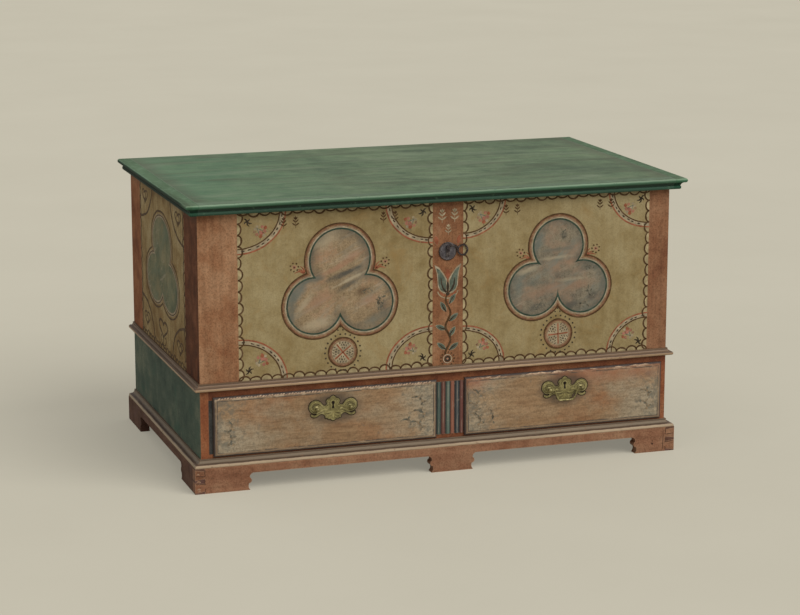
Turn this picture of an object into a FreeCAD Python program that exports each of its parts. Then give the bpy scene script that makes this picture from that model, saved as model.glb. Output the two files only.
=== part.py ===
"""Painted mule chest: a lidded chest on a case of two drawers, with bracket feet.

Millimetres, +Z up, +X to the right of someone facing the chest, -Y towards them.
The origin is on the floor, at the middle of the bounding box. One STEP file per piece.
"""
import FreeCAD, Part
import math
import os

V = FreeCAD.Vector

# ---- driving sizes -------------------------------------------------------------------------
# case
case_width = 1200.0
case_depth = 720.0
board = 20.0                # ends, front board, rail, divider
back_board_thickness = 18.0
floor_thickness = 16.0
housing_depth = 6.0         # floors let into the ends
# heights, from the floor up
foot_height = 42.0
apron_height = 20.0
base_moulding_height = 18.0
bottom_rail_reveal = 10.0   # drawer floor above the base moulding's top
drawer_opening_height = 132.0
rail_height = 24.0
chest_height = 428.0        # front board above the rail
# lid
lid_thickness = 22.0
lid_lap = 6.0               # lid moulding below the lid's underside
lid_overhang = 34.0
lid_gap = 0.3               # lid above the case
lid_side_clearance = 2.0    # lid moulding beside the case
# mouldings
waist_projection = 15.0
waist_height = 17.0
base_projection = 20.0
base_moulding_projection = 19.0
base_board = 24.0
# bracket feet, measured along the floor
left_foot_width = 132.0
right_foot_width = 104.0
centre_foot_width = 102.0
side_foot_width = 140.0
back_foot_width = 120.0
foot_cusp = 12.0            # reach of the bracket's top cove
block_depth = 70.0
block_lift = 3.0            # blocks clear of the floor
block_width = 34.0
# drawers
divider_width = 86.0
divider_x = 26.0            # the divider and the middle foot stand right of the middle
left_stile_width = 17.0     # upright between the left end and its drawer
reed_count = 6
reed_rise = 2.6
partition_thickness = 18.0
guide_height = 20.0
drawer_gap = 1.5            # drawer beside and above
drawer_floor_gap = 0.4
lip_overlap = 7.0
lip_thickness = 6.2
lip_gap = 0.3
lip_round = 4.5
field_rise = 1.5            # raised field of a drawer front
field_margin = 6.5
drawer_front_inner = 12.0
drawer_side = 12.0
drawer_side_height = 112.0
drawer_bottom_thickness = 8.0
drawer_bottom_lift = 7.0
drawer_groove = 4.0
drawer_back_gap = 32.0      # drawer short of the back board
# brasses
plate_thickness = 1.5
plate_offset = 15.0         # the left brass sits right of its drawer's middle
plate_height = 182.0        # the post line above the floor
post_spacing = 84.0
post_radius = 3.2
post_reach = 10.0
post_head_radius = 5.5
bail_radius = 2.0
bail_clearance = 0.06
bail_half_width = 19.0
bail_drop = 27.0
key_round = 3.2
key_slot = 2.6
key_drop = 11.0
drawer_key_rise = 10.0      # keyhole above the post line
drawer_lock_width = 70.0
drawer_lock_height = 46.0
drawer_lock_depth = 11.0
lock_wall = 2.0
# chest lock and escutcheon
lock_x = 18.0
keyhole_height = 545.0
escutcheon_radius = 22.5
escutcheon_thickness = 2.0
escutcheon_nail_radius = 1.8
cover_thickness = 2.2
cover_gap = 0.3
cover_pivot_rise = 10.0
cover_rivet_radius = 2.2
rivet_head_radius = 4.0
rivet_head_thickness = 1.6
ring_radius = 14.0
ring_hole = 10.4
lock_width = 120.0
lock_depth = 24.0
lock_bottom_drop = 25.0     # lock case below the keyhole
lock_top_gap = 22.0         # lock case below the lid
hasp_width = 26.0
hasp_plate_length = 80.0
staple_thickness = 5.0
staple_depth = 15.0
staple_wall = 4.0
staple_reach = 20.0         # staple below the lock case's top
staple_clearance = 3.0
bolt_length = 34.0
bolt_height = 8.0
bolt_clearance = 0.1
bolt_stand_off = 2.0        # bolt beside the staple when it is drawn
# hinges
hinge_offset = 350.0
strap_width = 34.0
strap_thickness = 3.0
strap_length = 330.0
leaf_width = 38.0
leaf_length = 150.0
barrel_radius = 4.5
barrel_stand_off = 5.5      # hinge axis behind the back board
pin_radius = 2.0
pin_clearance = 0.06
knuckle_width = 11.0
knuckle_gap = 0.5
notch_clearance = 0.6
nail_radius = 4.0
nail_rise = 1.4
strap_nail_count = 4
leaf_nail_count = 3
leaf_nail_stagger = 9.0
# till
till_width = 130.0
till_board = 10.0
till_top = 515.0
till_lid_overhang = 8.0
till_height = 130.0
till_gap = 0.6
till_pin_radius = 5.0
till_pin_clearance = 0.08
till_pin_length = 12.0
# dovetails
corner_tail_count = 7
foot_tail_count = 2
tail_share = 0.30           # half width of a tail's neck, as a share of its pitch
tail_flare = 3.0

# ---- places worked out from them ------------------------------------------------------------
half_width = case_width / 2
barrel_reach = barrel_stand_off + barrel_radius
front_y = -(case_depth + barrel_reach - lid_overhang) / 2
back_y = front_y + case_depth
inner_back_y = back_y - back_board_thickness
inner_x = half_width - board
base_top = foot_height + apron_height
moulding_top = base_top + base_moulding_height
drawer_floor_top = moulding_top + bottom_rail_reveal
opening_top = drawer_floor_top + drawer_opening_height
rail_top = opening_top + rail_height
case_top = rail_top + chest_height
lid_bottom = case_top + lid_gap
lid_top = lid_bottom + lid_thickness
moulding_height = lid_thickness + lid_lap
hinge_y = back_y + barrel_stand_off
hinge_z = lid_bottom - strap_thickness / 2
left_opening = (-inner_x + left_stile_width, divider_x - divider_width / 2)
right_opening = (divider_x + divider_width / 2, inner_x)
drawer_end_y = inner_back_y - drawer_back_gap

OUT = "parts"
os.makedirs(OUT, exist_ok=True)


# ---- shape helpers ---------------------------------------------------------------------------
def save(name, *solids):
    """Writes one piece, or one group of like pieces, to its STEP file."""
    shape = solids[0] if len(solids) == 1 else Part.makeCompound(list(solids))
    shape.exportStep(f"{OUT}/{name}.step")


def box(x0, x1, y0, y1, z0, z1):
    """A box from its lowest to its highest corner."""
    return Part.makeBox(x1 - x0, y1 - y0, z1 - z0, V(x0, y0, z0))


def outline(start, segments, place):
    """A closed wire. A segment is an end point, or a (via, end) pair for an arc."""
    edges = []
    here = start
    for segment in segments:
        if isinstance(segment[0], tuple):
            via, end = segment
            edges.append(Part.Arc(place(*here), place(*via), place(*end)).toShape())
        else:
            end = segment
            edges.append(Part.LineSegment(place(*here), place(*end)).toShape())
        here = end
    if math.dist(here, start) > 1e-6:
        edges.append(Part.LineSegment(place(*here), place(*start)).toShape())
    return Part.Wire(edges)


def prism(start, segments, place, along):
    """The outline filled and extruded along a vector."""
    return Part.Face(outline(start, segments, place)).extrude(along)


def rod(x, y, z, radius, length, axis):
    """A round bar that starts at a point and runs along an axis."""
    return Part.makeCylinder(radius, length, V(x, y, z), axis)


def round_path(points, radii):
    """Straight runs joined by tangent arcs, as one wire."""
    edges = []
    here = points[0]
    for i, radius in enumerate(radii, start=1):
        corner = points[i]
        before = (corner - points[i - 1]).normalize()
        after = (points[i + 1] - corner).normalize()
        turn = before.getAngle(after)
        reach = radius * math.tan(turn / 2)
        begin = corner - before * reach
        finish = corner + after * reach
        inward = (after - before).normalize()
        middle = corner + inward * (radius / math.cos(turn / 2) - radius)
        edges.append(Part.LineSegment(here, begin).toShape())
        edges.append(Part.Arc(begin, middle, finish).toShape())
        here = finish
    edges.append(Part.LineSegment(here, points[-1]).toShape())
    return Part.Wire(edges)


def tails(count, z0, z1, shoulder_x, end_x, y0, y1):
    """Dovetail tails on a board's end, between its shoulder and its end."""
    pitch = (z1 - z0) / count
    neck = tail_share * pitch
    solids = []
    for i in range(count):
        middle = z0 + (i + 0.5) * pitch
        solids.append(prism(
            (shoulder_x, middle - neck),
            [(end_x, middle - neck - tail_flare), (end_x, middle + neck + tail_flare),
             (shoulder_x, middle + neck)],
            lambda x, z: V(x, y0, z), V(0, y1 - y0, 0)))
    return Part.makeCompound(solids)


def both_tails(count, z0, z1, thickness, outer_x, y0, y1):
    """The tails of a board that is dovetailed at its left and its right end."""
    return [tails(count, z0, z1, side * (outer_x - thickness), side * outer_x, y0, y1)
            for side in (-1, 1)]


def keyhole(x, z, y0, y1):
    """The void of a keyhole through a board that faces the front."""
    void = rod(x, y0, z, key_round, y1 - y0, V(0, 1, 0))
    return void.fuse(box(x - key_slot / 2, x + key_slot / 2, y0, y1, z - key_drop, z))


def nail_heads(places, axis):
    """Flat round nail heads that stand on a surface."""
    return [rod(x, y, z, nail_radius, nail_rise, axis) for x, y, z in places]


# ---- case ------------------------------------------------------------------------------------
def case_ends():
    """End boards from the base to the lid, with sockets for tails and housings for the floors."""
    front_tails = both_tails(corner_tail_count, rail_top, case_top, board, half_width,
                             front_y, front_y + board)
    back_tails = both_tails(corner_tail_count, base_top, case_top, board, half_width,
                            inner_back_y, back_y)
    for name, side in (("end_left", 0), ("end_right", 1)):
        sign = (-1, 1)[side]
        x0, x1 = sorted((sign * inner_x, sign * half_width))
        end = box(x0, x1, front_y, back_y, base_top, case_top)
        end = end.cut(front_tails[side]).cut(back_tails[side])
        h0, h1 = sorted((sign * inner_x, sign * (inner_x + housing_depth)))
        for z0, z1, y0 in floor_levels():
            end = end.cut(box(h0, h1, y0, inner_back_y, z0, z1))
        end = end.cut(box(h0, h1, front_y, front_y + board, opening_top, rail_top))
        save(name, end)
    return front_tails, back_tails


def floor_levels():
    """Bottom, top and front edge of the drawer floor and of the chest floor."""
    return ((drawer_floor_top - floor_thickness, drawer_floor_top, front_y),
            (rail_top - floor_thickness, rail_top, front_y + board))


def case_boards(front_tails, back_tails):
    """Front board, back board, floors, rail, divider, partition and guides."""
    front = box(-inner_x, inner_x, front_y, front_y + board, rail_top, case_top)
    for tail in front_tails:
        front = front.fuse(tail)
    front = front.cut(keyhole(lock_x, keyhole_height, front_y - 1, front_y + board + 1))
    front = front.cut(till_pin_hole(front_y + board - till_pin_length - 1,
                                    till_pin_length + 1))
    save("front_board", front.removeSplitter())

    back = box(-inner_x, inner_x, inner_back_y, back_y, base_top, case_top)
    for tail in back_tails:
        back = back.fuse(tail)
    for x in (-hinge_offset, hinge_offset):
        half_notch = strap_width / 2 + notch_clearance
        back = back.cut(box(x - half_notch, x + half_notch, inner_back_y - 1, back_y + 1,
                            lid_bottom - strap_thickness - notch_clearance, case_top + 1))
    back = back.cut(till_pin_hole(inner_back_y, till_pin_length + 1))
    save("back_board", back.removeSplitter())

    reach = inner_x + housing_depth
    for name, (z0, z1, y0) in zip(("drawer_floor", "chest_floor"), floor_levels()):
        save(name, box(-reach, reach, y0, inner_back_y, z0, z1))
    save("drawer_rail", box(-reach, reach, front_y, front_y + board, opening_top, rail_top))
    save("drawer_divider", reeded_divider())
    save("drawer_stile", box(-inner_x, left_opening[0], front_y, front_y + board,
                             drawer_floor_top, opening_top))
    half = partition_thickness / 2
    save("drawer_partition", box(divider_x - half, divider_x + half,
                                 front_y + board, inner_back_y,
                                 drawer_floor_top, rail_top - floor_thickness))
    save("drawer_guides", *[box(x0, x1, front_y + board, inner_back_y,
                                drawer_floor_top, drawer_floor_top + guide_height)
                            for x0, x1 in ((-inner_x, left_opening[0]),
                                           (left_opening[1], divider_x - half),
                                           (divider_x + half, right_opening[0]))])


def reeded_divider():
    """The upright between the drawers, with half-round reeds between the drawers' lips."""
    stile = box(left_opening[1], right_opening[0], front_y, front_y + board,
                drawer_floor_top, opening_top)
    face_width = divider_width - 2 * lip_overlap - 2
    reed = face_width / reed_count
    for i in range(reed_count):
        x0 = divider_x - face_width / 2 + i * reed
        stile = stile.fuse(prism(
            (x0, front_y + 1),
            [(x0, front_y), ((x0 + reed / 2, front_y - reed_rise), (x0 + reed, front_y)),
             (x0 + reed, front_y + 1)],
            lambda x, y: V(x, y, drawer_floor_top), V(0, 0, drawer_opening_height)))
    return stile.removeSplitter()


# ---- mouldings -------------------------------------------------------------------------------
def waist_profile():
    """Fillet, cove and bead, as (reach, height) from the case's face."""
    top = waist_height
    nose = waist_projection
    return (0, 0), [(nose - 6, 0), ((nose, 4.5), (nose - 6, 9)), (nose - 6.8, 9),
                    ((5.2, 11.0), (4, top - 2)), (4, top), (0, top)]


def base_profile():
    """Fillet, cove, step and quarter round of the base moulding."""
    top = base_moulding_height
    nose = base_moulding_projection
    return (0, 0), [(nose, 0), (nose, 2), ((nose - 1.6, 6.2), (nose - 5, 7.5)),
                    (nose - 6.5, 7.5), ((6.0, 10.5), (4, top - 2)), (4, top), (0, top)]


def lid_profile():
    """Lower bead, cove and rounded nose of the lid's edge."""
    top = moulding_height
    nose = lid_overhang
    low = nose - 12
    return (lid_side_clearance, 0), [
        (low - 2, 0), ((low, 4.5), (low - 2, 9)), (low - 1, 10),
        ((nose - 9.6, 15.4), (nose - 4, 17.5)), (nose - 3.2, 17.5),
        ((nose, 22.4), (nose - 4.5, top)), (lid_side_clearance, top)]


def along_front(profile, z0, half_length):
    """A profile run along the front, reaching towards -Y."""
    start, segments = profile
    return prism(start, segments, lambda u, z: V(-half_length, front_y - u, z0 + z),
                 V(2 * half_length, 0, 0))


def along_side(profile, z0, sign, y0):
    """A profile run along an end, from y0 to the back."""
    start, segments = profile
    return prism(start, segments, lambda u, z: V(sign * (half_width + u), y0, z0 + z),
                 V(0, back_y - y0, 0))


def mitred_set(name, profile, z0, height, reach):
    """Front and end mouldings that meet in mitres at the front corners."""
    outer = half_width + reach
    prism_up = V(0, 0, height)
    plan_front = prism((-outer, front_y - reach),
                       [(outer, front_y - reach), (half_width, front_y), (-half_width, front_y)],
                       lambda x, y: V(x, y, z0), prism_up)
    save(f"{name}_front", along_front(profile, z0, outer).common(plan_front))
    for side, sign in (("left", -1), ("right", 1)):
        plan_side = prism((sign * outer, front_y - reach),
                          [(sign * half_width, front_y), (sign * half_width, back_y),
                           (sign * outer, back_y)],
                          lambda x, y: V(x, y, z0), prism_up)
        save(f"{name}_{side}",
             along_side(profile, z0, sign, front_y - reach).common(plan_side))


# ---- base ------------------------------------------------------------------------------------
def bracket(edge, sign):
    """A foot's shaped edge from the floor up to the apron. sign is the way the edge faces."""
    h = foot_height
    return [(edge + sign * 3, 0),
            ((edge - sign * 1.5, 0.20 * h), (edge, 0.40 * h)),
            (edge + sign * 1.5, 0.40 * h),
            ((edge + sign * 6.5, 0.56 * h), (edge + sign * 2, 0.72 * h)),
            ((edge + sign * 4.4, 0.92 * h), (edge + sign * foot_cusp, h))]


def reversed_bracket(edge, sign):
    """The same edge from the apron down to the floor."""
    h = foot_height
    return [(edge + sign * foot_cusp, h),
            ((edge + sign * 4.4, 0.92 * h), (edge + sign * 2, 0.72 * h)),
            ((edge + sign * 6.5, 0.56 * h), (edge + sign * 1.5, 0.40 * h)),
            (edge, 0.40 * h),
            ((edge - sign * 1.5, 0.20 * h), (edge + sign * 3, 0))]


def apron(low, high, feet):
    """Outline of a base board between two ends; feet lists the inner edges, left to right."""
    segments = []
    for left_edge, right_edge in feet:
        segments += bracket(left_edge, 1) + reversed_bracket(right_edge, -1)
    return (low, 0), segments + [(high, 0), (high, base_top), (low, base_top)]


def base_boards():
    """Bracket base: front and ends dovetailed at the corners, and a plain back."""
    outer = half_width + base_projection
    inner = outer - base_board
    out_y = front_y - base_projection
    start, segments = apron(-outer, outer, [
        (-outer + left_foot_width, divider_x - centre_foot_width / 2),
        (divider_x + centre_foot_width / 2, outer - right_foot_width)])
    front = prism(start, segments, lambda x, z: V(x, out_y, z), V(0, base_board, 0))
    corner_tail = both_tails(foot_tail_count, 0, base_top, base_board, outer,
                             out_y, out_y + base_board)
    for side in (0, 1):
        x0, x1 = sorted(((-1, 1)[side] * inner, (-1, 1)[side] * outer))
        corner = box(x0, x1, out_y, out_y + base_board, 0, base_top)
        front = front.cut(corner.cut(corner_tail[side]))
    save("base_front", front)

    for side, (name, sign) in enumerate((("base_left", -1), ("base_right", 1))):
        start, segments = apron(out_y, back_y,
                                [(out_y + side_foot_width, back_y - side_foot_width)])
        x0 = min(sign * inner, sign * outer)
        end = prism(start, segments, lambda y, z: V(x0, y, z), V(base_board, 0, 0))
        save(name, end.cut(corner_tail[side]))

    start, segments = apron(-inner, inner, [(-inner + back_foot_width,
                                             inner - back_foot_width)])
    save("base_back", prism(start, segments, lambda x, z: V(x, back_y - base_board, z),
                            V(0, base_board, 0)))


def foot_block(x0, x1, y, sign):
    """A glue block behind a foot, sloped from its depth at the top to the foot's toe."""
    return prism((0, block_lift), [(0, base_top), (block_depth, base_top),
                                   (block_depth, base_top - apron_height),
                                   (apron_height / 2, block_lift)],
                 lambda u, z: V(x0, y + sign * u, z), V(x1 - x0, 0, 0))


def foot_blocks():
    """Blocks behind the middle foot and in the four corners."""
    behind_front = front_y - base_projection + base_board
    half = centre_foot_width / 2 - foot_cusp
    save("foot_block_middle",
         foot_block(divider_x - half, divider_x + half, behind_front, 1))
    inner = half_width + base_projection - base_board
    before_back = back_y - base_board
    save("foot_blocks_corner", *[
        foot_block(min(x, x - sign * block_width), max(x, x - sign * block_width), y, way)
        for sign in (-1, 1) for x in (sign * inner,)
        for y, way in ((behind_front, 1), (before_back, -1))])


# ---- lid -------------------------------------------------------------------------------------
def lid():
    """Lid board, its moulded front, and end mouldings that return round the front corners."""
    edge = half_width + lid_side_clearance
    z0 = lid_top - moulding_height
    save("lid_board", box(-edge, edge, front_y - lid_side_clearance, back_y,
                          lid_bottom, lid_top))
    save("lid_moulding_front", along_front(lid_profile(), z0, edge))
    outer = half_width + lid_overhang
    returned = along_front(lid_profile(), z0, outer)
    behind = box(-outer, outer, front_y - lid_side_clearance, back_y, z0, lid_top)
    keep = returned.fuse(behind)
    for side, sign in (("left", -1), ("right", 1)):
        end = along_side(lid_profile(), z0, sign, front_y - lid_overhang)
        save(f"lid_moulding_{side}", end.common(keep).removeSplitter())


def hinges():
    """Strap hinges: a strap under the lid, a leaf on the back, a pin and nails."""
    pins = []
    strap_nails = []
    leaf_nails = []
    strap_front = back_y - strap_length
    hole = pin_radius + pin_clearance
    for side, x in (("left", -hinge_offset), ("right", hinge_offset)):
        z0 = lid_bottom - strap_thickness
        half = strap_width / 2
        strap = prism((x - half, back_y - 1),
                      [(x - half, strap_front + half),
                       ((x, strap_front), (x + half, strap_front + half)),
                       (x + half, back_y - 1)],
                      lambda u, y: V(u, y, z0), V(0, 0, strap_thickness))
        half_knuckle = knuckle_width / 2
        strap = strap.fuse(box(x - half_knuckle, x + half_knuckle, back_y - 2, hinge_y,
                               z0, lid_bottom))
        strap = strap.fuse(rod(x - half_knuckle, hinge_y, hinge_z, barrel_radius,
                               knuckle_width, V(1, 0, 0)))
        bore = rod(x - leaf_width, hinge_y, hinge_z, hole, 2 * leaf_width, V(1, 0, 0))
        save(f"hinge_strap_{side}", strap.cut(bore).removeSplitter())

        leaf = box(x - leaf_width / 2, x + leaf_width / 2, back_y, back_y + strap_thickness,
                   hinge_z - leaf_length, hinge_z)
        for sign in (-1, 1):
            a, b = sorted((sign * (half_knuckle + knuckle_gap), sign * half))
            leaf = leaf.fuse(rod(x + a, hinge_y, hinge_z, barrel_radius, b - a, V(1, 0, 0)))
        gap = half_knuckle + knuckle_gap
        leaf = leaf.cut(box(x - gap, x + gap, back_y - 1, hinge_y + barrel_reach,
                            hinge_z - barrel_radius - 1, hinge_z + barrel_reach))
        save(f"hinge_leaf_{side}", leaf.cut(bore).removeSplitter())

        pins.append(rod(x - half, hinge_y, hinge_z, pin_radius, strap_width, V(1, 0, 0)))
        nail_pitch = strap_length / strap_nail_count
        strap_nails += nail_heads([(x, strap_front + (i + 0.3) * nail_pitch, z0)
                                   for i in range(strap_nail_count)], V(0, 0, -1))
        nail_pitch = leaf_length / leaf_nail_count
        leaf_nails += nail_heads([(x - (-1) ** i * leaf_nail_stagger,
                                   back_y + strap_thickness,
                                   hinge_z - (i + 0.6) * nail_pitch)
                                  for i in range(leaf_nail_count)], V(0, 1, 0))
    save("hinge_pins", *pins)
    save("hinge_strap_nails", *strap_nails)
    save("hinge_leaf_nails", *leaf_nails)


# ---- chest lock ------------------------------------------------------------------------------
def lock_and_escutcheon():
    """Iron lock inside the front, hasp under the lid, round escutcheon and swinging cover."""
    y0 = front_y + board
    z0 = keyhole_height - lock_bottom_drop
    z1 = lid_bottom - lock_top_gap
    left, right = lock_x - lock_width / 2, lock_x + lock_width / 2
    back = y0 + lock_depth - lock_wall
    case = box(left, right, y0, y0 + lock_depth, z0, z1)
    case = case.cut(box(left + lock_wall, right - lock_wall, y0 - 1, back,
                        z0 + lock_wall, z1 - lock_wall))
    slot = staple_thickness / 2 + staple_clearance
    staple_y = y0 + (lock_depth - staple_depth) / 2
    case = case.cut(box(lock_x - slot, lock_x + slot, staple_y - staple_clearance,
                        staple_y + staple_depth + staple_clearance,
                        z1 - lock_wall - 1, z1 + 1))

    window = staple_depth - 2 * staple_wall
    window_z = z1 - staple_reach + staple_wall
    bolt_y = staple_y + staple_wall + 1
    bolt_z = window_z + 1
    bolt_end = lock_x - staple_thickness / 2 - bolt_stand_off
    save("lock_bolt", box(bolt_end - bolt_length, bolt_end, bolt_y, bolt_y + window - 2,
                          bolt_z, bolt_z + bolt_height))
    for low in (bolt_z - bolt_clearance - lock_wall, bolt_z + bolt_height + bolt_clearance):
        case = case.fuse(box(left + lock_wall, bolt_end, bolt_y, back, low, low + lock_wall))
    save("lock_case", case.removeSplitter())

    staple = box(lock_x - staple_thickness / 2, lock_x + staple_thickness / 2,
                 staple_y, staple_y + staple_depth, z1 - staple_reach, lid_bottom)
    staple = staple.cut(box(lock_x - staple_thickness, lock_x + staple_thickness,
                            staple_y + staple_wall, staple_y + staple_wall + window,
                            window_z, window_z + bolt_height + 2))
    hasp = staple.fuse(box(lock_x - hasp_width / 2, lock_x + hasp_width / 2,
                           staple_y, staple_y + hasp_plate_length,
                           lid_bottom - strap_thickness, lid_bottom))
    save("lock_hasp", hasp.removeSplitter())

    face = front_y - escutcheon_thickness
    disc = rod(lock_x, face, keyhole_height, escutcheon_radius, escutcheon_thickness,
               V(0, 1, 0))
    disc = disc.cut(keyhole(lock_x, keyhole_height, face - 1, front_y + 1))
    nails = [rod(lock_x + x, face, keyhole_height + z, escutcheon_nail_radius,
                 escutcheon_thickness, V(0, 1, 0)) for x, z in ((-16, 0), (12, -14))]
    for nail in nails:
        disc = disc.cut(nail)
    save("escutcheon", disc)

    pivot_z = keyhole_height + cover_pivot_rise
    stem = cover_gap + cover_thickness + cover_gap
    rivet = rod(lock_x, face - stem, pivot_z, cover_rivet_radius, stem, V(0, 1, 0))
    rivet = rivet.fuse(rod(lock_x, face - stem - rivet_head_thickness, pivot_z,
                           rivet_head_radius, rivet_head_thickness, V(0, 1, 0)))
    save("escutcheon_nails", rivet.removeSplitter(), *nails)
    save("keyhole_cover", keyhole_cover(face - cover_gap, pivot_z))


def keyhole_cover(y, pivot_z):
    """A flat iron leaf over the keyhole, with an arm that curls round to a finger ring."""
    away = V(0, -cover_thickness, 0)
    leaf_half = 4.6
    leaf_low = keyhole_height - key_drop - 3

    def place(x, z):
        return V(lock_x + x, y, z)

    cover = prism((-leaf_half, pivot_z), [(-leaf_half, leaf_low + leaf_half),
                  ((0, leaf_low), (leaf_half, leaf_low + leaf_half)), (leaf_half, pivot_z),
                  ((0, pivot_z + leaf_half), (-leaf_half, pivot_z))], place, away)
    arm_mid = 13.0
    arm_outer = 15.0
    arm_inner = 10.2
    centre_z = keyhole_height + 2
    bend = math.radians(45)
    dx, dz = math.cos(bend), math.sin(bend)
    arm = prism((arm_mid - arm_outer, centre_z),
                [((arm_mid, centre_z + arm_outer), (arm_mid + arm_outer, centre_z)),
                 (arm_mid + arm_inner, centre_z),
                 ((arm_mid + arm_inner * dx, centre_z + arm_inner * dz),
                  (arm_mid, centre_z + arm_inner)),
                 ((arm_mid - arm_inner * dx, centre_z + arm_inner * dz),
                  (arm_mid - arm_inner, centre_z))], place, away)
    ring_x = lock_x + arm_mid + (arm_outer + arm_inner) / 2 + (ring_radius + ring_hole) / 2
    ring = rod(ring_x, y, centre_z, ring_radius, cover_thickness, V(0, -1, 0))
    ring = ring.cut(rod(ring_x, y + 1, centre_z, ring_hole, cover_thickness + 2, V(0, -1, 0)))
    cover = cover.fuse(arm).fuse(ring)
    hole = rod(lock_x, y + 1, pivot_z, cover_rivet_radius + pin_clearance,
               cover_thickness + 2, V(0, -1, 0))
    return cover.cut(hole).removeSplitter()


# ---- till ------------------------------------------------------------------------------------
def till_hinge():
    """Place of the till lid's pivot: x beside the left end, and z in the lid's thickness."""
    return -inner_x + till_pin_radius + 3, till_top - till_board / 2


def till_pin_hole(y, length):
    """The void for one of the till lid's wooden pivots."""
    x, z = till_hinge()
    return rod(x, y, z, till_pin_radius + till_pin_clearance, length, V(0, 1, 0))


def till():
    """A small lidded box across the chest's left end."""
    side_x = -inner_x + till_width
    y0 = front_y + board
    under_lid = till_top - till_board - till_gap
    save("till_side", box(side_x, side_x + till_board, y0, inner_back_y,
                          till_top - till_height, under_lid))
    save("till_floor", box(-inner_x, side_x, y0, inner_back_y,
                           till_top - till_height, till_top - till_height + till_board))
    x, z = till_hinge()
    half = till_board / 2
    edge = side_x + till_board + till_lid_overhang
    lid_shape = prism((edge, z - half),
                      [(edge, z + half), (x, z + half),
                       ((x - half, z), (x, z - half))],
                      lambda u, w: V(u, y0 + till_gap, w),
                      V(0, inner_back_y - y0 - 2 * till_gap, 0))
    pin = rod(x, y0 - till_pin_length, z, till_pin_radius,
              inner_back_y - y0 + 2 * till_pin_length, V(0, 1, 0))
    save("till_lid", lid_shape.fuse(pin).removeSplitter())


# ---- drawers ---------------------------------------------------------------------------------
def drawer_front(x0, x1, z0, z1, key_x, key_z):
    """A lipped front with a quarter-round edge and a raised field."""
    back = front_y - lip_gap
    lip = box(x0 - lip_overlap, x1 + lip_overlap, back - lip_thickness, back,
              z0 - lip_overlap, z1 + lip_overlap)
    face_edges = [e for e in lip.Edges
                  if all(abs(v.Y - (back - lip_thickness)) < 1e-6 for v in e.Vertexes)]
    lip = lip.makeFillet(lip_round, face_edges)
    inset = field_margin - lip_overlap
    field = box(x0 + inset, x1 - inset, back - lip_thickness - field_rise,
                back - lip_thickness + field_rise, z0 + inset, z1 - inset)
    body = box(x0 + drawer_gap, x1 - drawer_gap, back - 1, front_y + drawer_front_inner,
               z0 + drawer_floor_gap, z1 - drawer_gap)
    front = lip.fuse(field).fuse(body)
    void = keyhole(key_x, key_z, back - lip_thickness - 2 * field_rise,
                   front_y + drawer_front_inner + 1)
    return front.cut(void)


def drawer(name, x0, x1, plate_x):
    """One drawer: front, sides, back, bottom, brass plate, posts and lock."""
    z0, z1 = drawer_floor_top, opening_top
    key_z = plate_height + drawer_key_rise
    front = drawer_front(x0, x1, z0, z1, plate_x, key_z)
    low = z0 + drawer_floor_gap
    inner_y = front_y + drawer_front_inner
    end_y = drawer_end_y
    left, right = x0 + drawer_gap, x1 - drawer_gap
    bottom_z = low + drawer_bottom_lift
    bottom = box(left + drawer_side - drawer_groove, right - drawer_side + drawer_groove,
                 inner_y, end_y, bottom_z, bottom_z + drawer_bottom_thickness)
    save(f"{name}_front", front)
    for side, a in (("left", left), ("right", right - drawer_side)):
        plank = box(a, a + drawer_side, inner_y, end_y, low, low + drawer_side_height)
        save(f"{name}_side_{side}", plank.cut(bottom))
    save(f"{name}_back", box(left + drawer_side, right - drawer_side, end_y - drawer_side,
                             end_y, bottom_z + drawer_bottom_thickness,
                             low + drawer_side_height))
    save(f"{name}_bottom", bottom)
    lock = box(plate_x - drawer_lock_width / 2, plate_x + drawer_lock_width / 2,
               inner_y, inner_y + drawer_lock_depth,
               z1 - drawer_gap - drawer_lock_height, z1 - drawer_gap)
    save(f"{name}_lock", lock.cut(box(plate_x - drawer_lock_width / 2 + lock_wall,
                                      plate_x + drawer_lock_width / 2 - lock_wall,
                                      inner_y - 1, inner_y + drawer_lock_depth - lock_wall,
                                      z1 - drawer_gap - drawer_lock_height + lock_wall,
                                      z1 - drawer_gap - lock_wall)))
    field_y = front_y - lip_gap - lip_thickness - field_rise
    save(f"{name}_plate", brass_plate(plate_x, field_y, key_z))
    return field_y - plate_thickness


# right half of the brass plate's edge, from its top to its foot: (via, end) arcs
PLATE_TOP = (0, 30)
PLATE_ARCS = [((5.5, 28), (8, 22)), ((14, 20), (19, 15)), ((22, 8.5), (29, 8)),
              ((42, 15.5), (56, 9)), ((61, -2), (56, -13)), ((52, -19), (46, -19)),
              ((42.5, -15.5), (37, -12.5)), ((26, -13), (17, -19)), ((12, -26), (5, -25.5)),
              ((3.5, -28.5), (0, -30))]


def brass_plate(x, y, key_z):
    """A wing-shaped plate with a keyhole, mirrored about its middle."""
    mirrored = [PLATE_TOP] + [end for _, end in PLATE_ARCS]
    segments = list(PLATE_ARCS)
    for i in range(len(PLATE_ARCS) - 1, -1, -1):
        via = PLATE_ARCS[i][0]
        segments.append(((-via[0], via[1]), (-mirrored[i][0], mirrored[i][1])))
    plate = prism(PLATE_TOP, segments, lambda u, z: V(x + u, y, plate_height + z),
                  V(0, -plate_thickness, 0))
    return plate.cut(keyhole(x, key_z, y - plate_thickness - 1, y + 1))


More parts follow.
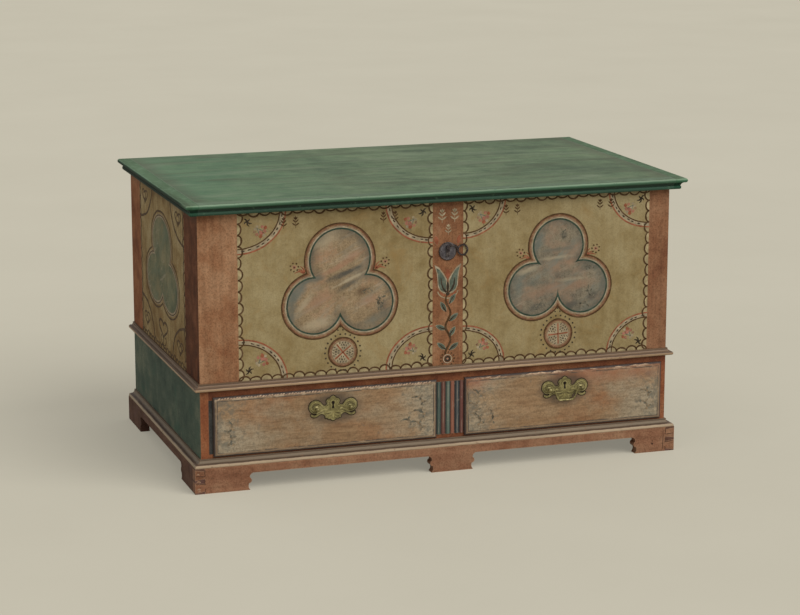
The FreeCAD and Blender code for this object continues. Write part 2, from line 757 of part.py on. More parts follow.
def posts(name, x, y, bored):
    """A pair of posts with round heads; bored heads carry a bail."""
    solids = []
    for sign in (-1, 1):
        px = x + sign * post_spacing / 2
        post = rod(px, y, plate_height, post_radius, post_reach, V(0, -1, 0))
        head = Part.makeSphere(post_head_radius, V(px, y - post_reach, plate_height))
        post = post.fuse(head)
        if bored:
            post = post.cut(rod(px - 2 * post_head_radius, y - post_reach, plate_height,
                                bail_radius + bail_clearance, 4 * post_head_radius,
                                V(1, 0, 0)))
        solids.append(post.removeSplitter())
    save(f"{name}_posts", *solids)


def bail(name, x, y):
    """A swan-neck bail whose ends turn in the posts' heads."""
    by = y - post_reach
    half = post_spacing / 2 + post_head_radius - 1
    neck = post_spacing / 2 - post_head_radius - 5
    shape = [(-half, 0), (-neck, 0), (-neck + 5, -13), (-bail_half_width, -bail_drop),
             (bail_half_width, -bail_drop), (neck - 5, -13), (neck, 0), (half, 0)]
    path = round_path([V(x + u, by, plate_height + z) for u, z in shape],
                      [5.0, 14.0, 6.0, 6.0, 14.0, 5.0])
    ring = Part.Wire(Part.makeCircle(bail_radius, V(x - half, by, plate_height), V(1, 0, 0)))
    wire = path.makePipeShell([ring], True, False)
    save(f"{name}_bail", wire)


def drawers():
    """Both drawers. The left one has lost its bail, so its posts are plain."""
    left_x = sum(left_opening) / 2 + plate_offset
    right_x = sum(right_opening) / 2
    face = drawer("drawer_left", *left_opening, left_x)
    posts("drawer_left", left_x, face, False)
    face = drawer("drawer_right", *right_opening, right_x)
    posts("drawer_right", right_x, face, True)
    bail("drawer_right", right_x, face)


case_boards(*case_ends())
mitred_set("waist_moulding", waist_profile(), rail_top, waist_height, waist_projection)
mitred_set("base_moulding", base_profile(), base_top, base_moulding_height,
           base_moulding_projection)
base_boards()
foot_blocks()
lid()
hinges()
lock_and_escutcheon()
till()
drawers()
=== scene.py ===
from math import atan2, cos, degrees, hypot, pi, radians, sin, sqrt, tau

import bmesh
import bpy
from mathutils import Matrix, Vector, noise


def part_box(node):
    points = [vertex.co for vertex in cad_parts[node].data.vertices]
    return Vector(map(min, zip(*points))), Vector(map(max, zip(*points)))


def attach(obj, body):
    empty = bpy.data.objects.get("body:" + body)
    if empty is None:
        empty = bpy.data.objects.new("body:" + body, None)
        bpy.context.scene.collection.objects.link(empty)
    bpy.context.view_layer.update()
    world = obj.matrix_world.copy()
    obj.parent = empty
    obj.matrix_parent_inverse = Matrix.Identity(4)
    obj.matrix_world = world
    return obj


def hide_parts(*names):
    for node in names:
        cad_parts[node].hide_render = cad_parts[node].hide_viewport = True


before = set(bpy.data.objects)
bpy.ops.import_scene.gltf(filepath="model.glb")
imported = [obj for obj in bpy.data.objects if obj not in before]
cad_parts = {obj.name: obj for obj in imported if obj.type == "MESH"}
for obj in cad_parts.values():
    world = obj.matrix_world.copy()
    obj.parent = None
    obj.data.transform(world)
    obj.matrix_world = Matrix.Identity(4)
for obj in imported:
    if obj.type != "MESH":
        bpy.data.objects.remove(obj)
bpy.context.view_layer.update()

noise.seed_set(4)

# ---- the camera, in degrees, metres and pixels of an 800 x 615 frame
IMAGE_WIDTH = 800
FOCAL_PIXELS = 2380
CAMERA_AZIMUTH = -18.5
CAMERA_ELEVATION = 12.3
CAMERA_DISTANCE = 6.1
CAMERA_TARGET = Vector((0.0137, 0.0, 0.3343))

# ---- places read from the frame
front_low, front_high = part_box("front_board")
end_low, end_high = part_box("end_left")
waist_low, waist_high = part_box("waist_moulding_front")
base_mould_low, base_mould_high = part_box("base_moulding_front")
lid_low, lid_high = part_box("lid_board")
disc_low, disc_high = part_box("escutcheon")
FRONT_Y = front_low[1]
BACK_Y = end_high[1]
HALF = front_high[0]
WAIST_TOP = waist_high[2]
LID_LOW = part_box("lid_moulding_front")[0][2]
LOCK_X = (disc_low[0] + disc_high[0]) / 2
LOCK_Z = (disc_low[2] + disc_high[2]) / 2
# paint runs a little way behind the mouldings
PAINT_LOW, PAINT_TOP = WAIST_TOP - 0.004, front_high[2] - 0.0005
LOWER_LOW, LOWER_TOP = base_mould_high[2] - 0.003, waist_low[2] + 0.004

# ---- the painted layout, in metres
MM = 0.001
STILE_X = 0.019               # middle of the centre stile
PANELS_FRONT = ((-0.504, -0.02), (0.058, 0.547))
PANEL_END = (FRONT_Y + 0.133, FRONT_Y + 0.612)
FILM = 0.15 * MM              # thickness of a coat of paint
STROKE = 0.28 * MM            # how far a stroke stands off the board
LEVEL = 0.015 * MM            # each colour of a palette stands this much above the last
SINK = 0.05 * MM              # how deep a coat starts inside its board
WANDER = 45.0                 # how closely the wavers of a brushed line follow each other
SCALLOP_PITCH = 0.0265
SCALLOP_BULGE = 0.0105


# ==== materials
WHITE = (255, 255, 255)


def colour(tint):
    """A screen colour, 0 to 255, as linear RGBA; a linear one is left as it is."""
    if len(tint) == 4:
        return tint
    return (*(c / 255 / 12.92 if c <= 10 else ((c / 255 + 0.055) / 1.055) ** 2.4
              for c in tint), 1.0)


def shade(tint, ratio, lift=0.0):
    """A colour made darker or lighter by a ratio."""
    return (*(min(1.0, c * ratio + lift) for c in colour(tint)[:3]), 1.0)


class Signal:
    """A node's output, which can be added to and multiplied as a number can."""

    def __init__(self, tree, socket):
        self.tree = tree
        self.socket = socket

    def __abs__(self):
        return self.tree.math("ABSOLUTE", self)

    def step(self, low, high):
        """0 below low, 1 above high, and a line between them."""
        return self.tree.add("MapRange", {"Value": self, "From Min": low, "From Max": high},
                             "Result", clamp=True)


# a signal's own + - * and /, each of which adds a math node
for name in ("add", "subtract", "multiply", "divide"):
    def ahead(self, other, name=name):
        return self.tree.math(name.upper(), self, other)

    def behind(self, other, name=name):
        return self.tree.math(name.upper(), other, self)

    short = {"subtract": "sub", "multiply": "mul", "divide": "truediv"}.get(name, name)
    setattr(Signal, f"__{short}__", ahead)
    setattr(Signal, f"__r{short}__", behind)


class Tree:
    """A material whose nodes are added and linked by short calls; tint is its colour so far."""

    def __init__(self, name, roughness=0.6, gloss=0.5, metallic=0.0, shift=0.0):
        self.material = bpy.data.materials.new(name)
        self.material.use_nodes = True
        self.graph = self.material.node_tree
        self.graph.nodes.clear()
        self.shader = self.node("BsdfPrincipled", {
            "Roughness": roughness, "Metallic": metallic, "Specular IOR Level": gloss})
        self.surface = self.node("OutputMaterial").inputs["Surface"]
        self.put(self.surface, self.shader.outputs["BSDF"])
        self.place = self.node("TexCoord").outputs["Object"]
        self.tint = None
        self.shift = shift

    def node(self, kind, inputs=None, **settings):
        """A new node; an input takes a number, a vector, a colour or another node's output."""
        made = self.graph.nodes.new("ShaderNode" + kind)
        for key, value in settings.items():
            setattr(made, key, value)
        for key, value in (inputs or {}).items():
            self.put(made.inputs[key], value)
        return made

    def add(self, kind, inputs, output=0, **settings):
        return Signal(self, self.node(kind, inputs, **settings).outputs[output])

    def put(self, socket, value):
        value = getattr(value, "socket", value)
        if isinstance(value, bpy.types.NodeSocket):
            self.graph.links.new(value, socket)
        else:
            socket.default_value = colour(value) if socket.type == "RGBA" else value

    def math(self, operation, a, b=0.0):
        return self.add("Math", {0: a, 1: b}, operation=operation)

    def vector(self, operation, output, *values):
        return self.add("VectorMath", dict(enumerate(values)), output, operation=operation)

    def noise(self, scale, detail, rough, off=0, stretch=(1, 1, 1), bend=0.0, turn=None):
        """Clouds of a size set by scale; turn is (axis, degrees) for streaks on a slant."""
        place, shift = self.place, self.shift + off
        if turn:
            place = self.add("VectorRotate", {"Vector": place, "Angle": radians(turn[1])},
                             rotation_type=turn[0] + "_AXIS")
        moved = self.vector("MULTIPLY_ADD", 0, place, stretch, (shift, shift * 0.7, shift * 1.3))
        return self.add("TexNoise", {"Vector": moved, "Scale": scale, "Detail": detail,
                                     "Roughness": rough, "Distortion": bend}, "Fac")

    def ramp(self, factor, stops, interpolation="LINEAR"):
        made = self.node("ValToRGB", {0: factor})
        band = made.color_ramp
        band.interpolation = interpolation
        stops = list(stops)
        while len(band.elements) < len(stops):
            band.elements.new(0.5)
        for element, (position, tint) in zip(band.elements, stops):
            element.position = position
            element.color = colour(tint)
        return Signal(self, made.outputs["Color"])

    def mix(self, factor, a, b, blend="MIX"):
        return self.add("Mix", {0: factor, 6: a, 7: b}, 2, data_type="RGBA", blend_type=blend)

    def lay(self, factor, tint, blend="MIX"):
        """Lays a colour over the tint so far."""
        self.tint = self.mix(factor, self.tint, tint, blend)

    def darken(self, share, factor, low, tint, high):
        """Darkens the tint so far by a ramp from a colour to white."""
        self.lay(share, self.ramp(factor, [(low, tint), (high, WHITE)]), "MULTIPLY")

    def axis(self, index):
        return self.add("SeparateXYZ", {0: self.place}, index)

    def nearest(self, spots):
        """Distance to the nearest of some points, each given as (x, y, z)."""
        found = None
        for spot in spots:
            gap = self.vector("DISTANCE", "Value", self.place, spot)
            found = gap if found is None else self.math("MINIMUM", found, gap)
        return found

    def spot(self, centre, half, lean):
        """Distance from an oval's centre, 1 on its edge; lean is in degrees from the front."""
        moved = self.add("Mapping", {
            "Vector": self.place, "Location": centre, "Scale": (half[0], 1.0, half[1]),
            "Rotation": (0.0, -radians(lean), 0.0)}, vector_type="TEXTURE")
        return self.vector("LENGTH", "Value", moved)

    def edges(self, radius):
        """1 along sharp edges and 0 on flat faces."""
        rounded = self.add("Bevel", {"Radius": radius}, samples=6)
        true = self.node("NewGeometry").outputs["Normal"]
        return self.vector("DOT_PRODUCT", "Value", rounded, true).step(0.985, 0.8)

    def finish(self, height=None, depth=0.0, strength=0.0):
        self.put(self.shader.inputs["Base Color"], self.tint)
        if height is not None:
            self.put(self.shader.inputs["Normal"], self.add("Bump", {
                "Strength": strength, "Distance": depth, "Height": height}))
        return self.material


# squeezes a noise across an axis, which draws it out along that axis
GRAIN = {"x": (0.05, 1, 1), "y": (1, 0.05, 1), "z": (1, 1, 0.05)}


def mottled(tree, tones, along, streak, grit=0.8):
    """Three tones in clouds and patches, with brush streaks along the grain and fine flecks."""
    cloud = tree.noise(4.5, 5, 0.6)
    patch = tree.noise(22.0, 6, 0.65, 3)
    tree.tint = tree.ramp(patch * 0.5 + cloud * 0.5, zip((0.38, 0.5, 0.62), tones))
    brush = tree.noise(95.0, 4, 0.6, 7, GRAIN[along])
    tree.darken(streak, brush, 0.3, (150, 146, 140), 0.62)
    fleck = tree.noise(300.0, 4, 0.75, 11)
    tree.lay(grit, tree.ramp(fleck, [(0.34, (176, 170, 162)), (0.54, (250, 250, 250)),
                                     (0.7, WHITE)]), "MULTIPLY")
    return brush, fleck


def paint(name, tones, under, along, wear, edge, shift, streak=0.35, gloss=0.18, lid_shadow=None,
          stain=None, grit=0.8):
    """Old paint: mottled, worn through in chips and along its edges to what is under it.

    It is darkened by painted shade between two heights, the shadow under the lid, and blotted
    with a stain, where they are given."""
    tree = Tree(name, gloss=gloss, shift=shift)
    brush, fleck = mottled(tree, tones, along, streak, grit)
    chips = tree.noise(48.0, 8, 0.72, 17)
    scuff = tree.noise(150.0, 5, 0.7, 23, GRAIN[along])
    lost = (chips * 0.65 + scuff * 0.35).step(0.66 - wear * 0.5, 0.7 - wear * 0.5)
    if edge:
        rub = tree.edges(0.0035) * tree.noise(70.0, 6, 0.7, 29).step(0.36, 0.56)
        lost = tree.math("MAXIMUM", lost, rub * edge)
    tree.lay(lost, under)
    if stain:
        blot = tree.noise(13.0, 7, 0.68, 37, bend=0.8).step(0.54, 0.72)
        tree.lay(blot * 0.65, stain)
    # painted shade: the band under the lid's overhang, darker towards the top
    if lid_shadow:
        wander = tree.noise(36.0, 4, 0.6) * 0.006
        tree.lay((tree.axis(2) - wander).step(*lid_shadow) * 0.8, (66, 46, 32))
    return tree.finish(brush * 0.6 + fleck * 0.4 - lost * 0.5, 0.0005, 0.45)


PINE = ((124, 94, 60), (152, 120, 82), (174, 144, 104))


def board(tree, along, off=0):
    """Bare aged board: cathedral grain, fine pores and a film of dirt; gives its relief."""
    squeeze = [0.09 if axis == along else 1.0 for axis in "xyz"]
    rings = tree.noise(7.0, 3, 0.45, off, squeeze, 0.35)
    bands = abs(tree.math("FRACT", rings * 13.0) - 0.5)
    broad = tree.noise(5.0, 4, 0.5, off + 2, squeeze)
    fine = tree.noise(120.0, 5, 0.65, off + 5, GRAIN[along])
    tree.tint = tree.ramp(broad, zip((0.35, 0.5, 0.66), PINE))
    tree.darken(0.45, bands, 0.0, (176, 152, 124), 0.3)
    tree.darken(0.6, fine, 0.3, (150, 132, 112), 0.55)
    dirt = tree.noise(11.0, 7, 0.7, off + 9).step(0.5, 0.74)
    tree.lay(dirt * 0.6, (96, 74, 52))
    return fine * 0.6 + bands * 0.5


def board_behind(tree, where, off=0):
    """Bare board in place of the tint so far, where there is no paint."""
    painted = tree.tint
    board(tree, "x", off)
    tree.tint = tree.mix(where, painted, tree.tint)


def wood(name, along, shift, joints=()):
    """A bare board's material, with dark lines where boards are jointed edge to edge."""
    tree = Tree(name, 0.7, 0.22, shift=shift)
    relief = board(tree, along)
    for height in joints:
        wander = tree.noise(3.0, 3, 0.5) * 0.004
        line = abs(tree.axis(2) - (height + wander)).step(0.0016, 0.0006)
        tree.lay(line * 0.85, (50, 36, 24))
        relief -= line
    tree.lay(tree.edges(0.003) * 0.5, (178, 148, 110))
    return tree.finish(relief, 0.0005, 0.45)


def brush_stroke(name, tint, ground, wear, shift):
    """One brushed colour, thin in places so that the ground shows through."""
    tree = Tree(name, gloss=0.08, shift=shift)
    load = tree.noise(60.0, 5, 0.6)
    tree.tint = tree.ramp(load, [(0.34, shade(tint, 0.72)), (0.5, tint),
                                 (0.66, shade(tint, 1.35, 0.01))])
    thin = tree.noise(170.0, 5, 0.7, 5)
    tree.lay(thin.step(0.7 - wear * 0.6, 0.86 - wear * 0.4), ground)
    return tree.finish(load, 0.0003, 0.3)


def moulding(name, low, bands, under, along, shift, front=None, gloss=0.3):
    """Paint in lines along a moulding, with painted shade in its hollows and a painted highlight
    on its nose, worn through in chips and at its edges: a band is (height above low in mm, r, g,
    b).
    """
    tree = Tree(name, gloss=gloss, shift=shift)
    span = bands[-1][0]
    wander = (tree.noise(40.0, 4, 0.6, -shift) - 0.5) * 0.0022
    level = (tree.axis(2) - low + wander) / (span * MM)
    tree.tint = tree.ramp(level, [(z / span, tint) for z, *tint in bands])
    # on the lid's shaded ends the bands turn to the front's lit bands near the front corner
    if front:
        near = (tree.axis(1) + wander * 6.0).step(FRONT_Y + 0.03, FRONT_Y - 0.016)
        tree.lay(near, tree.ramp(level, [(z / span, tint) for z, *tint in front]))
    patch = tree.noise(30.0, 6, 0.65, 0, GRAIN[along])
    tree.darken(0.6, patch, 0.32, (160, 148, 134), 0.6)
    chips = tree.noise(75.0, 7, 0.7, 9).step(0.6, 0.66)
    tree.lay(tree.math("MAXIMUM", chips * 0.7, tree.edges(0.0025) * 0.55), under)
    return tree.finish(patch, 0.0004, 0.35)


OCHRE = ((123, 105, 68), (138, 122, 86), (150, 136, 101))
# painted shade under the lid's overhang: a narrow band on the front, a deeper one on the ends
LID_SHADOW_BAND = (LID_LOW - 0.004, LID_LOW + 0.004)
LID_SHADOW_BAND_END = (LID_LOW - 0.034, LID_LOW + 0.006)

bare = {axis: wood("bare_wood_" + axis, axis, shift)
        for axis, shift in (("x", 0.0), ("y", 4.0), ("z", 8.0))}
back_wood = wood("back_wood", "x", 12.0, (0.236, 0.452))
ochre = paint("ochre_paint", OCHRE, (118, 92, 58), "z", 0.05, 0.0, 1.0, streak=0.14, lid_shadow=LID_SHADOW_BAND,
              stain=(132, 106, 64), grit=0.38)
ochre_end = paint("ochre_end", ((119, 92, 56), (150, 129, 90), (168, 151, 115)),
                  (106, 78, 48), "z", 0.06, 0.0, 2.0, lid_shadow=LID_SHADOW_BAND_END, stain=(128, 95, 58),
                  gloss=0.04)
red_left = paint("red_stile_left", ((124, 79, 51), (143, 102, 72), (157, 120, 90)),
                 (162, 128, 98), "z", 0.06, 0.5, 5.0, lid_shadow=LID_SHADOW_BAND)
red_middle = paint("red_stile_middle", ((116, 72, 46), (136, 94, 64), (152, 114, 84)),
                   (156, 126, 98), "z", 0.07, 0.0, 6.0, lid_shadow=LID_SHADOW_BAND, stain=(150, 116, 90))
red_right = paint("red_stile_right", ((108, 66, 44), (130, 89, 62), (145, 106, 78)),
                  (150, 118, 88), "z", 0.05, 0.5, 9.0, lid_shadow=LID_SHADOW_BAND)
end_stile_front = paint("end_stile_front", ((66, 34, 20), (94, 53, 32), (122, 76, 52)),
                        (112, 80, 60), "z", 0.04, 0.4, 11.0, lid_shadow=LID_SHADOW_BAND_END, gloss=0.04)
end_stile_rear = paint("end_stile_rear", ((116, 66, 40), (144, 92, 60), (160, 112, 80)),
                       (130, 98, 74), "z", 0.05, 0.4, 12.0, lid_shadow=LID_SHADOW_BAND_END, gloss=0.04)
blue_green = paint("blue_green_paint", ((60, 75, 68), (80, 93, 82), (106, 112, 96)),
                   (120, 110, 88), "y", 0.06, 0.5, 13.0, streak=0.1, stain=(50, 84, 72),
                   gloss=0.04)
rail_paint = paint("rail_paint", ((100, 52, 32), (122, 72, 45), (142, 94, 62)),
                   (140, 112, 86), "x", 0.06, 0.5, 14.0)
low_stile = paint("low_stile", ((116, 62, 38), (136, 82, 52), (150, 102, 70)),
                  (146, 114, 86), "z", 0.05, 0.5, 17.0)
dark_stile = paint("drawer_stile_paint", ((40, 40, 40), (56, 56, 54), (76, 72, 66)),
                   (98, 66, 48), "z", 0.05, 0.4, 18.0)
base_paint = paint("base_paint", ((116, 76, 54), (136, 96, 72), (148, 112, 86)),
                   (156, 126, 100), "x", 0.05, 0.6, 15.0, stain=(122, 74, 50))
base_end_paint = paint("base_end_paint", ((80, 54, 44), (100, 72, 60), (118, 88, 74)),
                       (136, 112, 92), "y", 0.06, 0.6, 16.0, stain=(92, 70, 70), gloss=0.04)


def lid_material():
    """Green lid paint over the top and edges; bare board underneath."""
    tree = Tree("lid_green", 0.5, 0.2, shift=21.0)
    brush, fleck = mottled(tree, ((62, 88, 55), (87, 111, 76), (104, 124, 89)), "x", 0.6)
    from_left = tree.axis(0) + tree.noise(3.0, 4, 0.6, 10) * 0.8
    tree.lay(from_left.step(0.35, -0.45) * 0.65, (50, 104, 70))
    smear = tree.noise(7.0, 7, 0.66, 14, (0.45, 1.6, 1), 0.7)
    tree.lay(smear.step(0.5, 0.68) * 0.75, (56, 68, 38))
    pale = tree.noise(9.0, 6, 0.66, 24, (0.3, 1.8, 1), 0.5)
    tree.lay(pale.step(0.52, 0.7) * 0.55, (112, 124, 100))
    ends = abs(tree.axis(0)).step(lid_high[0] - 0.045, lid_high[0] - 0.002)
    tree.lay(ends * 0.5, (58, 56, 34))
    scratch = tree.noise(60.0, 6, 0.7, 30, (0.06, 1, 1))
    tree.lay(scratch.step(0.6, 0.7) * 0.45, (120, 130, 104))
    # pale green along the lid's arrises: rubbed paint, and a painted highlight on the edges
    tree.lay(tree.edges(0.004) * 0.5, (124, 146, 122))
    board_behind(tree, tree.axis(2).step(lid_low[2] + 0.0008, lid_low[2] + 0.0006), -4)
    return tree.finish(brush * 0.5 + fleck * 0.3, 0.0005, 0.4)


# bands of paint along the mouldings, from the bottom up: height in mm, then the colour; the dark
# bands are painted shade in the coves and under the noses, the palest ones painted highlights on
# the noses
LID_FRONT = ((0.0, 38, 66, 52), (7.0, 44, 80, 62), (9.8, 24, 44, 34), (15.0, 30, 56, 43),
             (17.8, 58, 96, 74), (22.5, 64, 100, 76), (26.2, 122, 146, 122),
             (28.0, 84, 104, 80))
# the lid's ends: the same bands darkened as painted shade
LID_ENDS_SHADED = ((0.0, 24, 40, 31), (7.0, 30, 48, 37), (9.8, 16, 28, 22), (17.0, 22, 38, 29),
            (22.5, 30, 50, 38), (25.4, 48, 74, 56), (27.0, 116, 142, 118), (28.0, 80, 104, 78))
WAIST_BANDS = ((0.0, 70, 48, 36), (1.4, 166, 140, 112), (6.2, 162, 136, 108),
               (7.6, 72, 52, 40), (9.4, 117, 96, 76), (12.4, 128, 105, 84), (13.6, 68, 50, 38),
               (15.2, 112, 92, 72), (17.0, 98, 80, 62))
BASE_BANDS = ((0.0, 96, 68, 52), (1.6, 164, 146, 120), (6.0, 154, 134, 110), (7.4, 76, 58, 46),
              (9.6, 112, 98, 80), (14.2, 124, 108, 88), (15.4, 72, 56, 46),
              (16.8, 110, 96, 80), (18.0, 106, 92, 76))


def lid_edge_material(name, along):
    """The lid's moulding: painted shade in its cove and a painted highlight on its nose; darker
    all through at the ends, as painted shade.
    """
    if along == "x":
        return moulding(name, LID_LOW, LID_FRONT, (62, 92, 70), along, 33.0)
    return moulding(name, LID_LOW, LID_ENDS_SHADED, (42, 62, 49), along, 33.0, LID_FRONT, 0.06)


def divider_material():
    """Reeds painted one by one: green, red, grey-green, orange, blue-black and dark red."""
    tree = Tree("divider_stripes")
    low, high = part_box("drawer_divider")
    lip = 0.007
    tints = ((54, 74, 68), (100, 56, 44), (74, 90, 80), (126, 76, 56), (40, 50, 56),
             (90, 48, 40))
    across = (tree.axis(0) - (low[0] + lip)) / (high[0] - low[0] - 2 * lip)
    tree.tint = tree.ramp(across, [(i / len(tints), tint) for i, tint in enumerate(tints)],
                          "CONSTANT")
    reed = abs(tree.math("FRACT", across * len(tints)) - 0.5)
    # painted shade in the grooves between the reeds
    tree.lay(reed.step(0.28, 0.44) * 0.9, (34, 30, 30))
    # painted highlights, in streaks, along the crowns of the reeds
    highlight_streaks = tree.noise(70.0, 6, 0.7, 12, (1, 1, 0.12))
    tree.lay(reed.step(0.16, 0.05) * (highlight_streaks.step(0.46, 0.6) * 0.45), (160, 148, 128))
    brush = tree.noise(95.0, 5, 0.65, 3, GRAIN["z"])
    tree.darken(0.6, brush, 0.3, (150, 144, 138), 0.6)
    lost = tree.noise(60.0, 7, 0.7, 8).step(0.6, 0.68)
    tree.lay(tree.math("MAXIMUM", lost * 0.6, tree.edges(0.002) * 0.35), (150, 140, 122))
    return tree.finish(brush, 0.0004, 0.4)


def drawer_material(side):
    """A drawer front scrubbed to the wood, dark lines at its edges and old blue at its ends."""
    low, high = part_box(f"drawer_{side}_front")
    middle_x, _, middle_z = (low + high) / 2
    across = (high[0] - low[0]) / 2
    tree = Tree(f"drawer_{side}_face", 0.62, 0.3, shift=41.0 if side == "left" else 57.0)
    from_middle = abs(tree.axis(0) - middle_x)
    grain = tree.noise(30.0, 7, 0.66, 0, (0.16, 1, 1), 0.9)
    tree.tint = tree.ramp(grain, [(0.28, (128, 102, 73)), (0.46, (143, 118, 89)),
                                  (0.6, (151, 128, 99)), (0.76, (160, 140, 114))])
    warm = tree.noise(6.0, 6, 0.62, 3, (0.7, 1.3, 1))
    inward = from_middle.step(across - 0.04, across - 0.15)
    tree.lay(warm.step(0.46, 0.64) * (0.15 + inward * 0.65), (142, 100, 68))
    ashen = tree.noise(7.5, 6, 0.62, 31, (0.7, 1.3, 1))
    ashen += from_middle.step(across - 0.22, across - 0.02) * 0.15
    tree.lay(ashen.step(0.52, 0.66) * 0.8, (151, 140, 119))
    tree.lay(inward, (242, 233, 224), "MULTIPLY")
    pores = tree.noise(190.0, 5, 0.72, 5, (0.14, 1, 1))
    tree.darken(0.48, pores, 0.32, (150, 136, 120), 0.55)
    fleck = tree.noise(260.0, 4, 0.75, 7)
    tree.darken(0.6, fleck, 0.34, (168, 158, 148), 0.54)
    blots = tree.noise(64.0, 8, 0.74, 9, bend=0.4)
    blots += from_middle.step(across - 0.11, across - 0.012) * 0.15
    tree.lay(blots.step(0.58, 0.72) * 0.66, (84, 84, 76))
    # the edge: a rubbed rim, a broken line inside it and a dark one at the outside
    off_z = (high[2] - low[2]) / 2 - abs(tree.axis(2) - middle_z)
    depth = (tree.math("MINIMUM", across - from_middle, off_z)
             + (tree.noise(34.0, 5, 0.65, 13) - 0.5) * 0.003)
    top = tree.axis(2).step(high[2] - 0.013, high[2] - 0.009)
    chips = tree.noise(80.0, 7, 0.72, 19, (0.5, 1, 1)).step(0.5, 0.58)
    tree.lay(depth.step(0.0098, 0.0088),
             tree.mix(chips * (0.25 + top * 0.65), (124, 104, 82), (168, 150, 126)))
    inner = depth.step(0.0078, 0.0086) * depth.step(0.0112, 0.0102)
    broken = tree.noise(26.0, 6, 0.7, 23).step(0.4, 0.52)
    if side == "right":
        flush = tree.axis(2).step(high[2] - 0.045, high[2] - 0.016) * warm.step(0.44, 0.56)
        tree.lay(flush * 0.55, (140, 84, 58))
    tree.lay(inner * (broken * 0.85), (62, 56, 52))
    tree.lay(depth.step(0.0048, 0.0036) * 0.9, (52, 44, 44))
    # painted shade and grime round the brass plate, in an oval that darkens towards it
    plate = sum(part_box(f"drawer_{side}_plate"), Vector()) / 2
    squeezed = tree.vector("MULTIPLY_ADD", 0, tree.place, (0.58, 0.0, 1.0),
                           (-0.58 * plate[0], 0.0, -plate[2]))
    halo = tree.vector("LENGTH", "Value", squeezed) + tree.noise(60.0, 5, 0.65, 27) * 0.014
    tree.lay(halo.step(0.054, 0.034) * 0.78, (62, 54, 44))
    board_behind(tree, tree.axis(1).step(FRONT_Y - 0.0012, FRONT_Y - 0.0006))
    return tree.finish(pores * 0.6 + grain * 0.6, 0.0005, 0.35)


PATCH_TINTS = {"ink": (66, 66, 62), "grey": (88, 90, 82), "blue": (92, 98, 92),
               "pink": (142, 108, 86), "pale": (158, 146, 122), "brown": (84, 66, 50)}


def field_material(name, tones, smear, blush, centres, lobe, axis, shift, scars, patches=()):
    """The worn field inside a trefoil: smears, slanting scratches and a smudged edge.

    A patch is (u, w, half length, half width, all in mm, lean, tint, strength)."""
    tree = Tree(name, 0.62, 0.12, shift=shift)
    brush, fleck = mottled(tree, tones, "z", 0.3)
    tree.lay(tree.noise(15.0, 6, 0.66, 15).step(0.5, 0.66) * 0.7, blush)
    drift = tree.noise(16.0, 7, 0.68, 5, (0.5, 0.5, 1.6), 0.8, (axis, 30))
    tree.lay(drift.step(0.5, 0.66) * 0.8, smear)
    rim = tree.nearest(centres) / lobe + (tree.noise(34.0, 7, 0.7, 19) - 0.5) * 0.75
    tree.lay(rim.step(0.72, 1.12) * 0.85, shade(smear, 0.42))
    scar = tree.noise(34.0, 6, 0.7, 25, (0.12, 0.12, 1.0), turn=(axis, 27))
    tree.lay(scar.step(0.6, 0.68) * scars, (78, 76, 70))
    pale = tree.noise(48.0, 6, 0.7, 29, (0.14, 0.14, 1.0), turn=(axis, 24))
    tree.lay(pale.step(0.58, 0.68) * 0.45, (160, 146, 126))
    ragged = (scar - 0.5) * 1.7 + (tree.noise(90.0, 6, 0.7, 33) - 0.5) * 1.1
    for u, w, length, width, lean, key, strength in patches:
        reach = tree.spot((u * MM, FRONT_Y, w * MM), (length * MM, width * MM), lean) + ragged
        tree.lay(reach.step(1.15, 0.3) * strength, PATCH_TINTS[key])
    return tree.finish(brush * 0.5 + fleck * 0.4, 0.0004, 0.4)


def metal(name, tones, grime, rough, shift, metallic, hammer=0.0):
    """Cast or forged metal, dull in its hollows and brighter where hands rub it."""
    tree = Tree(name, rough, metallic=metallic, shift=shift)
    cloud = tree.noise(60.0, 6, 0.65)
    tree.tint = tree.ramp(cloud, zip((0.35, 0.52, 0.68), tones))
    dirt = tree.noise(190.0, 7, 0.7, 3).step(0.5, 0.66)
    tree.lay(dirt * 0.55, grime)
    tree.lay(tree.edges(0.0012) * 0.7, tones[2])
    dents = tree.noise(120.0 if hammer else 400.0, 3, 0.5, 7)
    return tree.finish(dents, 0.0004, 0.35 + hammer)


brass = metal("old_brass", ((98, 90, 58), (128, 119, 76), (160, 150, 106)), (70, 62, 40), 0.46,
              2.0, 0.6)
brass_rubbed = metal("rubbed_brass", ((136, 128, 80), (158, 148, 98), (182, 172, 122)),
                     (90, 82, 52), 0.4, 3.0, 0.7)
iron = metal("forged_iron", ((44, 38, 38), (66, 58, 58), (96, 88, 88)), (50, 36, 30), 0.55,
             6.0, 0.7, 0.35)
iron_plate = metal("iron_plate", ((56, 50, 54), (88, 84, 88), (142, 138, 140)), (44, 36, 36),
                   0.46, 9.0, 0.7, 0.5)
iron_dark = metal("iron_handle", ((34, 28, 28), (54, 46, 46), (122, 114, 112)), (40, 30, 26),
                  0.42, 12.0, 0.7, 0.2)


# ==== the chest's own boards
def bevel(piece, width, segments, angle=30):
    soft = piece.modifiers.new("softened", "BEVEL")
    soft.width = width
    soft.segments = segments
    soft.limit_method = "ANGLE"
    soft.angle_limit = radians(angle)


def dress(nodes, material, width=0.0, segments=2):
    """Gives CAD nodes, named in one string, their material and softened edges."""
    for name in nodes.split():
        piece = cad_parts[name]
        piece.data.materials.clear()
        piece.data.materials.append(material)
        if width:
            bevel(piece, width, segments, 40)


